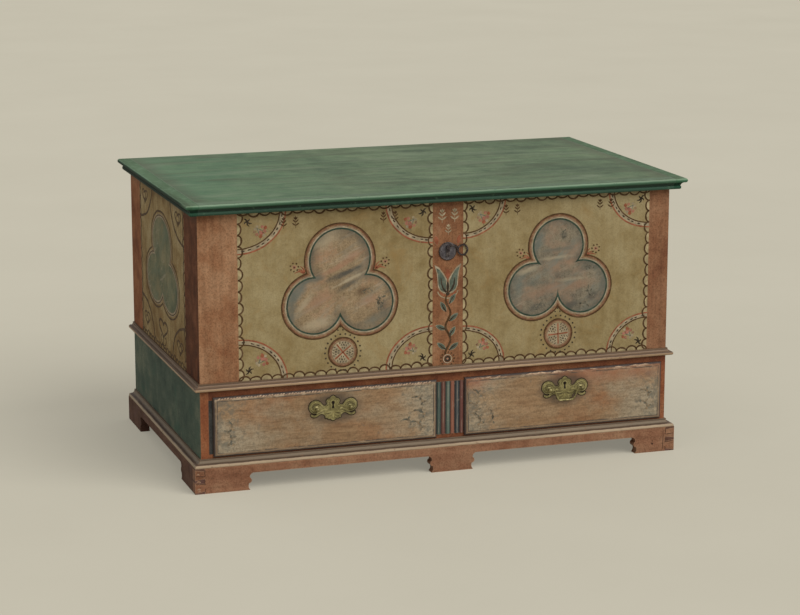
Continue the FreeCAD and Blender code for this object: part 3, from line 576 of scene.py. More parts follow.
EASED = 0.7 * MM
dress("front_board chest_floor drawer_floor drawer_left_back drawer_left_bottom "
      "drawer_right_back drawer_right_bottom base_back", bare["x"], EASED)
dress("end_left end_right drawer_partition drawer_guides till_side till_floor till_lid "
      "drawer_left_side_left drawer_left_side_right drawer_right_side_left "
      "drawer_right_side_right", bare["y"], EASED)
dress("foot_blocks_corner foot_block_middle", bare["z"], EASED)
dress("back_board", back_wood, EASED)
dress("drawer_rail", rail_paint, EASED)
dress("drawer_stile", dark_stile, EASED)
dress("drawer_divider", divider_material())
dress("base_front", base_paint, EASED)
dress("base_left base_right", base_end_paint, EASED)
dress("lid_board", lid_material(), EASED)
UNDER_MOULDING = (112, 84, 62)
for side, along in (("front", "x"), ("left", "y"), ("right", "y")):
    dress(f"waist_moulding_{side}", moulding(f"waist_{side}_paint", waist_low[2], WAIST_BANDS,
                                             UNDER_MOULDING, along, 3.0), 0.3 * MM, 1)
    dress(f"base_moulding_{side}", moulding(f"base_{side}_edge", base_mould_low[2], BASE_BANDS,
                                            UNDER_MOULDING, along, 7.0), 0.3 * MM, 1)
    dress(f"lid_moulding_{side}", lid_edge_material(f"lid_{side}_edge", along), 0.4 * MM)
for side in ("left", "right"):
    dress(f"drawer_{side}_front", drawer_material(side), 0.3 * MM)
    dress(f"drawer_{side}_lock", iron, 0.4 * MM)
    dress(f"drawer_{side}_plate", brass, 0.45 * MM, 3)
    dress(f"drawer_{side}_posts", brass)
dress("drawer_right_bail", brass)
dress("hinge_leaf_left hinge_leaf_right hinge_leaf_nails hinge_strap_left hinge_strap_right "
      "hinge_strap_nails lock_case lock_hasp lock_bolt escutcheon_nails", iron, 0.4 * MM)
dress("hinge_pins", iron)
dress("escutcheon", iron_plate, 0.4 * MM)
dress("keyhole_cover", iron_dark, 0.7 * MM, 3)


# ==== painted shapes
def face(x, y, z):
    """Places points (u, w, rise) on an upright face that looks along -Y."""
    return lambda u, w, rise: Vector((x + u, y - rise, z + w))


def on_left(u, w, rise):
    return Vector((-HALF - rise, u, w))


def on_right(u, w, rise):
    return Vector((HALF + rise, u, w))


on_front = face(0, FRONT_Y, 0)


def polar(cu, cw, reach, a, way=1):
    """The point at a reach and an angle in radians from (cu, cw); way -1 mirrors it."""
    return cu + way * reach * cos(a), cw + reach * sin(a)


def twig(u, w, size, a, bend, middle):
    """Three points of a short line from (u, w) that bends towards the angle a."""
    return [(u, w), polar(u, w, size * middle, a + bend), polar(u, w, size, a)]


def curve(cu, cw, ru, rw, start, end, steps):
    """Points on an ellipse's arc, from start to end in degrees."""
    turns = [radians(start + (end - start) * i / steps) for i in range(steps + 1)]
    return [(cu + ru * cos(a), cw + rw * sin(a)) for a in turns]


def ring(cu, cw, ru, rw, steps):
    return curve(cu, cw, ru, rw, 0, 360, steps)[:-1]


def sway(point, amount, seed):
    """A point moved a little, as a hand-drawn line wanders."""
    shift = noise.noise_vector(Vector((point[0] * WANDER, point[1] * WANDER, seed * 7.3)))
    return point[0] + shift.x * amount, point[1] + shift.y * amount


def new_piece(name, mesh, material, slot, body):
    """Makes a finished mesh a piece of the scene that rides on a body."""
    bmesh.ops.recalc_face_normals(mesh, faces=mesh.faces)
    data = bpy.data.meshes.new(name)
    mesh.to_mesh(data)
    mesh.free()
    piece = bpy.data.objects.new(name, data)
    bpy.context.scene.collection.objects.link(piece)
    data.materials.append(material)
    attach(piece, body)
    return piece


def tube(mesh, rows, closed):
    """Faces between rows of points, each row being a closed loop."""
    for here, there in zip(rows, rows[1:] + rows[:1] if closed else rows[1:]):
        for k in range(len(here)):
            m = (k + 1) % len(here)
            mesh.faces.new((here[k], here[m], there[m], there[k]))


class Coat:
    """Flat shapes of one colour on one face of the chest, gathered into one thin piece."""

    def __init__(self, name, place, material, slot, body="case", rise=STROKE, sink=SINK):
        self.name, self.place, self.material = name, place, material
        self.slot, self.body, self.rise, self.sink = slot, body, rise, sink
        self.count = 0
        self.mesh = bmesh.new()

    def height(self):
        """Each shape stands a hair above the last, so that no two faces coincide."""
        self.count += 1
        return self.rise + self.count * 1.0e-7

    def point(self, u, w, rise):
        return self.mesh.verts.new(self.place(u, w, rise))

    def fill(self, outline, seed=None):
        """A closed shape, as a thin slab that starts just inside the board."""
        rise = self.height()
        if seed is not None:
            outline = [sway(p, 0.0006, seed) for p in outline]
        top = [self.point(u, w, rise) for u, w in outline]
        low = [self.point(u, w, -self.sink) for u, w in outline]
        self.mesh.faces.new(top)
        self.mesh.faces.new(low[::-1])
        for i, here in enumerate(top):
            j = (i + 1) % len(top)
            self.mesh.faces.new((here, low[i], low[j], top[j]))
        return self

    def stroke(self, points, width, closed=False, seed=None, taper=(1.0, 1.0), amount=0.0007):
        """A brushed line; taper is its width at its two ends as a share of its middle's."""
        rise = self.height()
        if seed is not None:
            points = [sway(p, amount, seed) for p in points]
        count = len(points)
        rows = []
        for i, (u, w) in enumerate(points):
            before = points[(i - 1) % count] if closed or i else points[i]
            after = points[(i + 1) % count] if closed or i < count - 1 else points[i]
            du, dw = after[0] - before[0], after[1] - before[1]
            length = hypot(du, dw) or 1.0
            share = 1.0
            if not closed:
                t = i / (count - 1)
                ends = taper[0] * (1 - t) + taper[1] * t
                share = ends + (1 - ends) * sin(pi * t) ** 0.6
            half = width / 2 * share
            if seed is not None:
                half *= 1 + 0.35 * noise.noise(Vector((u * 130, w * 130, seed * 3.1)))
            nu, nw = -dw / length * half, du / length * half
            rows.append([self.point(*spot) for spot in (
                (u + nu, w + nw, rise), (u - nu, w - nw, rise),
                (u - nu, w - nw, -self.sink), (u + nu, w + nw, -self.sink))])
        tube(self.mesh, rows, closed)
        if not closed:
            self.mesh.faces.new(rows[0])
            self.mesh.faces.new(rows[-1][::-1])
        return self

    def dot(self, u, w, radius, seed=0):
        turns = [tau * i / 10 for i in range(10)]
        return self.fill([(u + radius * cos(a) * (1 + 0.18 * sin(3 * a + seed)),
                           w + radius * sin(a) * (1 + 0.14 * cos(2 * a + seed)))
                          for a in turns])

    def done(self):
        self.mesh.normal_update()
        bmesh.ops.triangulate(self.mesh, ngon_method="EAR_CLIP",
                              faces=[f for f in self.mesh.faces if len(f.verts) > 4])
        return new_piece(self.name, self.mesh, self.material, self.slot, self.body)


def leaf(cu, cw, length, width, angle):
    """A pointed oval that starts at (cu, cw) and runs along angle."""
    steps = 9
    a = radians(angle)
    left, right = [], []
    for i in range(steps + 1):
        t = i / steps
        half = width / 2 * sin(pi * t) ** 0.8
        u, w = polar(cu, cw, length * t, a)
        left.append((u - half * sin(a), w + half * cos(a)))
        if 0 < i < steps:
            right.append((u + half * sin(a), w - half * cos(a)))
    return left + right[::-1]


def heart(cu, cw, width, height):
    """A heart's outline with its point down."""
    points = []
    for t in (tau * i / 40 for i in range(40)):
        w = (13 * cos(t) - 5 * cos(2 * t) - 2 * cos(3 * t) - cos(4 * t)) / 17
        points.append((cu + sin(t) ** 3 * width / 2, cw + (w + 0.12) * height / 2))
    return points


def lobes(cu, cw, width, height, lobe):
    """The centres and radii of a trefoil's lobes: right, top, left."""
    side, top = lobe
    return [(cu + width / 2 - side, cw - height / 2 + side, side),
            (cu, cw + height / 2 - top, top),
            (cu - width / 2 + side, cw - height / 2 + side, side)]


def trefoil(cu, cw, width, height, lobe, inset, stretch):
    """The outline of three overlapping lobes, set in by inset; lobe is (side, top) radii."""
    centres = [(u, w, radius - inset)
               for u, w, radius in lobes(cu, cw, width / stretch, height, lobe)]

    def meet(a, b):
        """Where two lobes' edges cross, on the outer side."""
        du, dw = b[0] - a[0], b[1] - a[1]
        gap = hypot(du, dw)
        along = (a[2] ** 2 - b[2] ** 2 + gap * gap) / (2 * gap)
        reach = sqrt(max(a[2] ** 2 - along ** 2, 0.0))
        return a[0] + (du * along + dw * reach) / gap, a[1] + (dw * along - du * reach) / gap

    cusps = [meet(centres[i], centres[(i + 1) % 3]) for i in range(3)]
    points = []
    for i, (lu, lw, r) in enumerate(centres):
        begin, end = (degrees(atan2(w - lw, u - lu)) for u, w in (cusps[i - 1], cusps[i]))
        while end <= begin:
            end += 360
        points += curve(lu, lw, r, r, begin, end, 30)[:-1]
    return [(cu + (u - cu) * stretch, w) for u, w in points]


# a palette's colours from the lowest coat up: name, level, colour and how worn it is
COLOURS = (("pale_ground", 0, (145, 131, 100), 0.35), ("salmon", 1, (142, 104, 84), 0.3),
           ("rose", 2, (118, 90, 71), 0.4), ("pale", 3, (140, 127, 104), 0.28),
           ("ash", 4, (137, 125, 106), 0.35), ("leaf", 5, (80, 88, 77), 0.22),
           ("pink", 6, (140, 92, 78), 0.35), ("dark_green", 8, (46, 60, 50), 0.12),
           ("dull_red", 9, (106, 72, 52), 0.3), ("red", 10, (128, 76, 54), 0.22),
           ("white", 11, (166, 154, 132), 0.3), ("brown", 12, (72, 52, 32), 0.1),
           ("black", 13, (54, 46, 36), 0.15))


class Palette:
    """The coats for one painted face, one for each colour."""

    def __init__(self, label, place, ground, slot):
        self.coats = {}
        for key, level, tint, wear in COLOURS:
            material = brush_stroke(f"{label}_{key}", tint, ground, wear, level * 3.0)
            self.coats[key] = Coat(f"{label}_{key}_strokes", place, material, slot,
                                   rise=STROKE + level * LEVEL)

    def __getattr__(self, key):
        return self.coats[key]

    def done(self):
        for coat in self.coats.values():
            if coat.count:
                coat.done()


def scallops(art, start, end, inward, seed, pale=True, line=0.004):
    """A row of half-round bulges from start to end, on the side that inward points to."""
    du, dw = end[0] - start[0], end[1] - start[1]
    count = max(1, round(hypot(du, dw) / SCALLOP_PITCH))
    for i in range(count):
        bulge = SCALLOP_BULGE * (1 + 0.22 * sin(i * 2.3 + seed))
        points = []
        for a in (pi * k / 10 for k in range(11)):
            t = (i + (1 - cos(a)) / 2) / count
            out = bulge * sin(a)
            points.append((start[0] + t * du + inward[0] * out,
                           start[1] + t * dw + inward[1] * out))
        if pale:
            art.pale_ground.fill(points)
        art.brown.stroke(points, line, seed=seed + i * 0.37, taper=(0.7, 0.9), amount=0.0009)


def corners(u0, u1, low, high):
    """A panel's corners, each with the ways that point into the panel."""
    return (u0, low, 1, 1), (u1, low, -1, 1), (u0, high, 1, -1), (u1, high, -1, -1)


# the flower in each corner: across, up, size and colour
BLOOM = ((-0.008, -0.003, 0.0036, "pale"), (-0.003, -0.008, 0.0034, "pale"),
         (0.0, 0.001, 0.0046, "pale"), (0.006, 0.007, 0.0056, "pink"),
         (0.014, 0.004, 0.005, "pink"), (0.017, -0.005, 0.0042, "red"),
         (0.005, 0.015, 0.0048, "red"), (-0.004, 0.011, 0.0042, "pink"),
         (0.009, -0.007, 0.004, "pink"), (0.013, 0.013, 0.0036, "ash"),
         (-0.01, 0.004, 0.0034, "rose"))


def corner(art, cu, cw, su, sw, ru, rw, seed, full=True):
    """A quarter-round band across a panel's corner, with a sprig and a flower inside it."""
    def at(u, w):
        return cu + su * u, cw + sw * w

    def arc(ratio, start=0.0, end=90.0, steps=22):
        return [at(*p) for p in curve(0, 0, ru * ratio, rw * ratio, start, end, steps)]

    if not full:
        art.brown.stroke(arc(1.0), 0.0066, seed=seed, amount=0.002)
        scribble = heart(*at(ru * 0.42, rw * 0.44), 0.06, 0.04)
        art.brown.stroke(scribble[3:-2], 0.0046, seed=seed, amount=0.002)
        curl = curve(*at(ru * 0.4, rw * 0.42), 0.012, 0.01, 20, 300, 10)
        art.brown.stroke(curl, 0.0044, seed=seed)
        return
    art.pale.stroke(arc(0.94), ru * 0.1, seed=seed)
    art.salmon.stroke(arc(0.978), ru * 0.04, seed=seed)
    art.red.stroke(arc(1.0), 0.0036, seed=seed)
    art.brown.stroke(arc(0.88), 0.003, seed=seed + 1)
    for i in range(9):
        a = 7 + i * 9.2 + 1.5 * sin(i * 2.1 + seed)
        art.black.stroke(arc(0.932, a, a + 4.6, 4), 0.003, seed=seed + i, taper=(0.5, 0.5))
    for angle, size in ((24, 0.013), (66, 0.013), (140, 0.009), (-44, 0.009), (222, 0.01)):
        line = twig(ru * 0.205, rw * 0.225, size, radians(angle), 0.3, 0.6)
        art.black.stroke([at(*p) for p in line], 0.0036, taper=(1.0, 0.4))
    bloom = (ru * 0.44, rw * 0.44)
    for i, (du, dw, size, key) in enumerate(BLOOM):
        art.coats[key].dot(*at(bloom[0] + du, bloom[1] + dw), size, i + seed)
    for a in (radians(12), radians(78)):
        line = [(bloom[0] - 0.004, bloom[1] - 0.004), *twig(*bloom, 0.024, a, 0.0, 0.5)[1:]]
        art.leaf.stroke([at(*p) for p in line], 0.0016, taper=(1.0, 0.4))


def medallion(art, cu, cw, radius, seed, turn):
    """A pale disc with a cross and small marks, inside a ring of dots."""
    def hoop(ratio, steps=40):
        return ring(cu, cw, radius * ratio, radius * ratio, steps)

    art.brown.stroke(hoop(1.0), 0.0036, True, seed)
    art.dull_red.stroke(hoop(0.93), 0.0036, True, seed)
    art.rose.stroke(hoop(0.86), radius * 0.2, True, seed)
    art.pale.fill(hoop(0.76, 36))
    for a in (radians(angle + turn) for angle in (0, 90, 180, 270)):
        art.red.stroke([(cu, cw), polar(cu, cw, radius * 0.7, a)], 0.0034, seed=seed)
        for side in (-1, 1):
            for spread, ratio in ((28, 0.26), (22, 0.46), (38, 0.44), (17, 0.63), (34, 0.62)):
                b = a + side * radians(spread)
                art.black.stroke([polar(cu, cw, radius * ratio, b),
                                  polar(cu, cw, radius * (ratio + 0.11), b + side * 0.1)],
                                 0.0028, taper=(0.8, 0.5))
    for i in range(22):
        art.black.dot(*polar(cu, cw, radius * 1.24, tau * i / 22), 0.0023, i)


def trefoil_panel(label, place, art, shape, field, slot, seed, plain=False, stretch=1.0):
    """A framed trefoil: outline, red band, pale band, green line and a worn field."""
    def outline(inset):
        return trefoil(*shape, inset, stretch)

    def layer(name, material, rise, inset, seed):
        coat = Coat(f"{label}_{name}", place, material, slot, rise=STROKE + rise * MM)
        coat.fill(outline(inset), seed).done()

    if plain:
        art.brown.stroke(outline(-0.0085), 0.005, True, seed + 5, amount=0.0022)
        art.ash.fill(outline(-0.002), seed)
    art.brown.fill(outline(0.0), seed)
    rings = (("ash", 0.003),) if plain else (
        ("dull_red", 0.0036), ("rose", 0.0062), ("ash", 0.0096), ("dark_green", 0.0126))
    for level, (key, inset) in enumerate(rings):
        layer(f"{key}_ring", art.coats[key].material, 0.22 + level * 0.02, inset, seed)
    layer("field", field, 0.32, 0.007 if plain else 0.0166, seed + 0.6)


def ghost_sprays(label, spots, ground):
    """Faint leaves left from a picture that has worn away."""
    ink = brush_stroke(f"{label}_ghost", (74, 72, 62), ground, 0.42, 2.0)
    coat = Coat(f"{label}_ghost_leaves", on_front, ink, "ochre_paint", rise=STROKE + 0.34 * MM)
    for n, (u, w, angle, size) in enumerate(spots):
        a = radians(angle)
        stem = []
        for t in (0.0, 0.2, 0.4, 0.6, 0.8, 1.0):
            off = size * 0.12 * sin(3 * t)
            stem.append((u + size * t * cos(a) - off * sin(a),
                         w + size * t * sin(a) + off * cos(a)))
        coat.stroke(stem, 0.0026, seed=n, taper=(0.9, 0.3))
        for k in range(5):
            coat.fill(leaf(*polar(u, w, size * (0.15 + 0.18 * k), a), size * 0.34,
                           size * 0.13, angle + (48 if k % 2 else -48)))
    coat.done()


def slab(name, place, u0, u1, w0, w1, material, slot):
    """One coat of paint over a stile or a panel."""
    outline = ((u0, w0), (u1, w0), (u1, w1), (u0, w1))
    Coat(name, place, material, slot, rise=FILM).fill(outline).done()


def outlined(art, outline, fill_key, line_key, width):
    """A filled shape with a line painted round its edge."""
    art.coats[fill_key].fill(outline)
    art.coats[line_key].stroke(outline, width, True)


def spray(coat, cu, cw, size):
    """A small upright spray of paired leaves, symmetrical about its stem."""
    coat.stroke([(cu, cw - size * 0.5), (cu, cw + size * 0.25)], size * 0.055, taper=(0.7, 0.5))
    for level, (rise, length) in enumerate(((-0.3, 0.42), (-0.02, 0.38), (0.22, 0.3))):
        for side in (-1, 1):
            coat.fill(leaf(cu, cw + size * rise, size * length, size * 0.12,
                           90 - side * (52 - 9 * level)))
    coat.fill(leaf(cu, cw + size * 0.2, size * 0.34, size * 0.13, 90))


# ---- the front
edges = (-HALF, *PANELS_FRONT[0], *PANELS_FRONT[1], HALF)
for u0, u1, name, material, slot in zip(
        edges, edges[1:],
        ("stile_left", "panel_left", "stile_middle", "panel_right", "stile_right"),
        (red_left, ochre, red_middle, ochre, red_right),
        ("red_paint", "ochre_paint", "red_paint", "ochre_paint", "red_paint")):
    slab("front_" + name, on_front, u0, u1, PAINT_LOW, PAINT_TOP, material, slot)
slab("drawer_floor_edge", on_front, end_high[0], -end_high[0], LOWER_LOW,
     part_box("drawer_floor")[1][2], rail_paint, "red_paint")

FRONT_TREFOILS = ((-0.253, 0.4905, 0.293, 0.281, (0.083, 0.0895)),
                  (0.306, 0.489, 0.287, 0.266, (0.08, 0.08)))
CUSP_REACH = (0.089, 0.075)
MEDALLIONS = ((-0.247, 0.315, 0.036, 38), (0.308, 0.32, 0.037, 2))
CORNER_SIZE = ((0.118, 0.1), (0.108, 0.094))
# the fields: three tones, smear, blush, shift, strength of the scars, patches, then the ghosts
# of leaves as (u, w, angle, size)
FRONT_FIELDS = (
    (((130, 112, 87), (146, 126, 98), (158, 138, 111)), (128, 120, 104), (150, 116, 90), 3.0,
     0.55, (
        (-236, 509, 58, 9, 21, "ink", 0.85), (-318, 497, 30, 8, 10, "grey", 0.7),
        (-232, 480, 32, 8, 26, "ink", 0.65), (-198, 463, 20, 11, 20, "brown", 0.7),
        (-148, 424, 20, 19, 60, "ink", 0.6), (-360, 466, 46, 17, 56, "blue", 0.75),
        (-374, 418, 50, 12, 82, "grey", 0.6), (-165, 394, 46, 15, 24, "grey", 0.55),
        (-224, 545, 40, 12, 32, "pink", 0.6), (-262, 521, 38, 8, 24, "pink", 0.7),
        (-312, 443, 44, 16, 32, "pink", 0.55), (-180, 440, 40, 12, 20, "pink", 0.45),
        (-286, 588, 46, 22, 34, "pale", 0.55), (-226, 493.5, 52, 4.5, 24, "pale", 0.7),
        (-312, 388, 44, 14, 12, "pale", 0.55), (-342, 440, 40, 9, 50, "pale", 0.5)),
     ((-0.158, 0.412, 74, 0.036), (-0.146, 0.42, 120, 0.028), (-0.2, 0.458, 14, 0.026))),
    (((108, 100, 87), (124, 115, 98), (140, 129, 109)), (108, 109, 99), (136, 112, 92), 9.0,
     0.4, (
        (319, 566, 12, 13, 60, "ink", 0.6), (254, 552, 34, 15, 70, "blue", 0.7),
        (300, 532, 50, 6, 4, "grey", 0.55), (205, 448, 40, 16, 74, "blue", 0.6),
        (248, 392, 26, 11, 8, "ink", 0.65), (344, 392, 34, 11, 10, "ink", 0.6),
        (396, 410, 18, 12, 40, "ink", 0.6), (427, 440, 26, 12, 70, "grey", 0.65),
        (382, 482, 26, 8, 8, "ink", 0.5), (240, 452, 34, 9, 6, "grey", 0.45),
        (276, 434, 46, 15, 12, "pink", 0.34), (360, 440, 44, 12, 6, "pink", 0.32),
        (330, 500, 40, 8, 4, "pink", 0.25), (300, 512, 52, 5, 3, "pale", 0.45),
        (222, 484, 34, 8, 16, "pale", 0.6), (340, 456, 50, 5, 2, "pale", 0.35)),
     ((0.24, 0.386, 26, 0.03), (0.404, 0.404, 128, 0.034), (0.352, 0.386, 8, 0.034),
      (0.372, 0.482, 6, 0.026), (0.318, 0.556, 84, 0.024))))

art = Palette("front", on_front, OCHRE[1], "ochre_paint")
low, high = WAIST_TOP, LID_LOW
for index, (side, (u0, u1)) in enumerate(zip(("left", "right"), PANELS_FRONT)):
    seed = 3.0 + 11 * index
    scallops(art, (u0, low), (u1, low), (0, 1), seed)
    scallops(art, (u0, high), (u1, high), (0, -1), seed + 2)
    scallops(art, (u0, low), (u0, high), (1, 0), seed + 4)
    scallops(art, (u1, low), (u1, high), (-1, 0), seed + 6)
    for n, place in enumerate(corners(u0, u1, low, high)):
        corner(art, *place, *CORNER_SIZE[index], seed + n)
    shape = FRONT_TREFOILS[index]
    cu, cw = shape[:2]
    middles = [(u, FRONT_Y, w) for u, w, radius in lobes(*shape)]
    middles.append((cu, FRONT_Y, cw - 0.02))
    tones, smear, blush, shift, scars, patches = FRONT_FIELDS[index][:6]
    field = field_material(f"trefoil_{side}_field", tones, smear, blush, middles,
                           shape[4][0] - 0.015, "Y", shift, scars, patches)
    trefoil_panel(f"trefoil_{side}", on_front, art, shape, field, "ochre_paint",
                  1.0 + 3 * index)
    disc_u, disc_w, radius, turn = MEDALLIONS[index]
    medallion(art, disc_u, disc_w, radius, seed, turn)
    for row, count in enumerate((4, 3, 2, 1)):
        for k in range(count):
            art.black.dot(cu + (k - (count - 1) / 2) * 0.0125,
                          disc_w + radius * 1.52 + row * 0.0085, 0.0019, k + row)
    cusp_w = cw + 0.023
    for way in (-1, 1):
        base_u = cu + way * CUSP_REACH[index]
        for angle, size in ((4, 0.024), (30, 0.02), (62, 0.02), (88, 0.018)):
            line = twig(0.0, 0.0, size, radians(angle), 0.35, 0.55)
            art.red.stroke([(base_u + way * u, cusp_w + w) for u, w in line], 0.0034,
                           seed=seed, taper=(1.0, 0.4))
        bud = (base_u + way * 0.024, cusp_w + 0.016)
        art.salmon.dot(*bud, 0.0052, 1)
        art.brown.dot(*bud, 0.0026, 1)
        for k in range(7):
            art.brown.dot(*polar(*bud, 0.01, radians(51 * k + 20), way), 0.0022, k)
    for offset in (-0.15, -0.118, 0.118, 0.15):
        spray(art.brown, cu + offset * 0.92, high - 0.031, 0.027)
for side, field in zip(("left", "right"), FRONT_FIELDS):
    ghost_sprays(f"trefoil_{side}", field[-1], field[0][1])

# ---- the centre stile: sprays, buds, a tulip, a vine and a rosette
for offset, w, size in ((-0.015, 0.632, 0.034), (0.017, 0.632, 0.034), (0.001, 0.598, 0.026)):
    spray(art.pale, STILE_X + offset, w, size)
for way in (-1, 1):
    outlined(art, leaf(LOCK_X + way * 0.026, LOCK_Z + 0.016, 0.024, 0.0115, 90 - way * 12),
             "red", "rose", 0.002)


def stile_coat(name, material, rise):
    return Coat(name, on_front, material, "red_paint", rise=STROKE + rise * MM)


def mirrored(points, way, cu=0.0, cw=0.0):
    """Points given in mm about (cu, cw); way -1 mirrors them."""
    return [(cu + way * u * MM, cw + w * MM) for u, w in points]


TULIP = (STILE_X, 0.44)
PETAL = ((3, 0), (12, 2), (21, 9), (25.5, 20), (26.8, 36), (28.4, 52), (34.5, 73), (22.5, 66),
         (11.5, 52), (2, 36))
PETAL_INSIDE = ((4.5, 5), (11.5, 5.5), (19.2, 11.5), (23.2, 21), (24.3, 36), (25.6, 50),
                (30, 65.5), (21.5, 60), (12, 47), (4.5, 32))
PETAL_VEIN = ((3.5, 4), (10.5, 12), (15.5, 24), (18, 40))
for way, side in ((-1, "left"), (1, "right")):
    art.ash.fill(mirrored(PETAL, way, *TULIP))
    stile_coat(f"tulip_petal_{side}", art.leaf.material, 0.24).fill(
        mirrored(PETAL_INSIDE, way, *TULIP)).done()
    stile_coat(f"tulip_vein_{side}", art.black.material, 0.27).stroke(
        mirrored(PETAL_VEIN, way, *TULIP), 0.0048, seed=2.0, taper=(1.0, 0.3)).done()
    art.pale.stroke(curve(STILE_X, TULIP[1] + 0.01, 0.026, 0.021, -90, -90 + way * 82, 12),
                    0.0026, seed=4.0)
    for k in range(4):
        a = radians(-90 + way * (18 + 18 * k))
        art.red.dot(STILE_X + 0.019 * cos(a), TULIP[1] + 0.008 + 0.013 * sin(a), 0.0024, k)
art.red.fill(leaf(STILE_X, TULIP[1] + 0.036, 0.026, 0.011, 90))
core = stile_coat("tulip_core", art.black.material, 0.29)
core.fill(leaf(STILE_X, TULIP[1] + 0.002, 0.03, 0.007, 90))
core.dot(*TULIP, 0.0048).done()

VINE_TOP, VINE_BOTTOM = TULIP[1] - 0.002, 0.29
art.brown.stroke([(STILE_X - 0.0064 * sin(t * tau * 2.2 + 0.5) + 0.001,
                   VINE_TOP + (VINE_BOTTOM - VINE_TOP) * t)
                  for t in (i / 40 for i in range(41))], 0.0052, seed=7.0, taper=(0.8, 0.9))
for level, way, angle in ((0.415, 1, 58), (0.396, -1, 60), (0.372, 1, 40), (0.352, -1, 22),
                          (0.333, 1, 58), (0.302, -1, 38), (0.3, 1, 36)):
    lean = angle if way > 0 else 180 - angle
    start_u = STILE_X + way * 0.004
    outlined(art, leaf(start_u, level, 0.029, 0.0112, lean), "leaf", "ash", 0.0016)
    art.black.stroke(twig(start_u, level, 0.023, radians(lean), 0.08, 12 / 23), 0.0032,
                     taper=(1.0, 0.3))
ROSETTE = (STILE_X, 0.2785)
art.dull_red.fill(ring(*ROSETTE, 0.013, 0.0125, 24))
art.white.stroke(ring(*ROSETTE, 0.0108, 0.0104, 24), 0.0015, True)
art.black.fill(ring(*ROSETTE, 0.0078, 0.0075, 20))
stile_coat("rosette_eye", art.salmon.material, 0.24).dot(*ROSETTE, 0.0028).done()
for k, (u, w) in enumerate(ring(*ROSETTE, 0.0175, 0.0165, 13)):
    if w > WAIST_TOP + 0.001:
        art.brown.dot(u, w, 0.0022, k)
art.done()

# ---- the ends
u0, u1 = PANEL_END
middle = (u0 + u1) / 2
END_TREFOIL = (middle, 0.487, 0.345, 0.236, (0.0655, 0.0715))
for label, place, way, seed in (("left", on_left, -1, 20.0), ("right", on_right, 1, 31.0)):
    for name, start, end, material, slot in (
            ("stile_front", FRONT_Y, u0, end_stile_front, "red_paint"),
            ("panel", u0, u1, ochre_end, "end_paint"),
            ("stile_rear", u1, BACK_Y, end_stile_rear, "red_paint")):
        slab(f"end_{label}_{name}", place, start, end, PAINT_LOW, PAINT_TOP, material, slot)
    slab(f"end_{label}_lower", place, FRONT_Y, BACK_Y, LOWER_LOW, LOWER_TOP, blue_green,
         "end_paint")
    strip = sorted((-way * end_low[0], -way * end_high[0]))
    slab(f"end_{label}_edge", on_front, *strip, LOWER_LOW, LOWER_TOP, low_stile, "red_paint")
    side_art = Palette(f"end_{label}", place, (142, 113, 76), "end_paint")
    scallops(side_art, (u0, low), (u0, high), (1, 0), seed, False, 0.0062)
    scallops(side_art, (u1, low), (u1, high), (-1, 0), seed + 2, False, 0.0062)
    scallops(side_art, (u0, low), (u1, low), (0, 1), seed + 4, False, 0.005)
    for n, spot in enumerate(corners(u0, u1, low, high)):
        corner(side_art, *spot, 0.14, 0.1, seed + n, full=False)
    field = field_material(f"end_{label}_field", ((70, 82, 62), (106, 108, 82), (134, 128, 98)),
                           (88, 98, 80), (118, 106, 76), [(way * HALF, middle, 0.487)], 0.2,
                           "X", seed, 0.3)
    trefoil_panel(f"end_trefoil_{label}", place, side_art, END_TREFOIL, field, "end_paint",
                  seed, plain=True, stretch=1.45)
    ink = side_art.brown
    ink.stroke(heart(middle, 0.316, 0.092, 0.05), 0.0064, True, seed)
    ink.stroke([(middle, 0.293), (middle + 0.003, 0.28), (middle - 0.001, 0.268)], 0.0046,
               seed=seed)
    for turn in (-1, 1):
        ink.stroke(mirrored(((6, 0), (20, 4), (30, 14), (26, 24), (18, 20)), turn, middle,
                            0.275), 0.0036, seed=seed)
    side_art.done()

# ---- joints, chips and a nail hole in the base
base_low, base_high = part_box("base_front")
on_base = face(0, base_low[1], 0)
seams = Coat("base_seams", on_base,
             brush_stroke("base_seams", (62, 42, 32), (120, 84, 62), 0.25, 3.0), "red_paint",
             rise=0.14 * MM)
for way in (-1, 1):
    line = way * (base_high[0] - 0.0245)
    for top, bottom in ((0.058, 0.044), (0.034, 0.022), (0.012, 0.004)):
        seams.stroke([(line, top), (line + way * 0.0006, (top + bottom) / 2), (line, bottom)],
                     0.0018, seed=way * 3.0 + top * 90)
    for level in (0.043, 0.023):
        seams.stroke([(line, level), (line + way * 0.012, level + 0.0012),
                      (line + way * 0.022, level + 0.002)], 0.0018, seed=level * 80)
seams.dot(0.56, 0.022, 0.003, 1)
seams.stroke([(0.56, 0.026), (0.5605, 0.03)], 0.0018)
seams.stroke([(0.59, 0.006), (0.5894, 0.02), (0.5902, 0.036), (0.5896, 0.056)], 0.0015,
             seed=8.0)
seams.done()
chips = Coat("base_chips", on_base,
             brush_stroke("base_chips", (150, 124, 102), (126, 92, 70), 0.45, 5.0),
             "red_paint", rise=0.12 * MM)
for u, w, length in ((-0.616, 0.03, 0.01), (-0.614, 0.024, 0.008), (-0.616, 0.012, 0.009),
                     (-0.613, 0.007, 0.007), (-0.616, 0.048, 0.007), (0.608, 0.04, 0.006)):
    chips.stroke([(u, w), (u + length * 0.5, w + 0.0016), (u + length, w - 0.0006)], 0.0034,
                 seed=u * 50 + w * 300, taper=(0.4, 0.3), amount=0.0014)
chips.done()

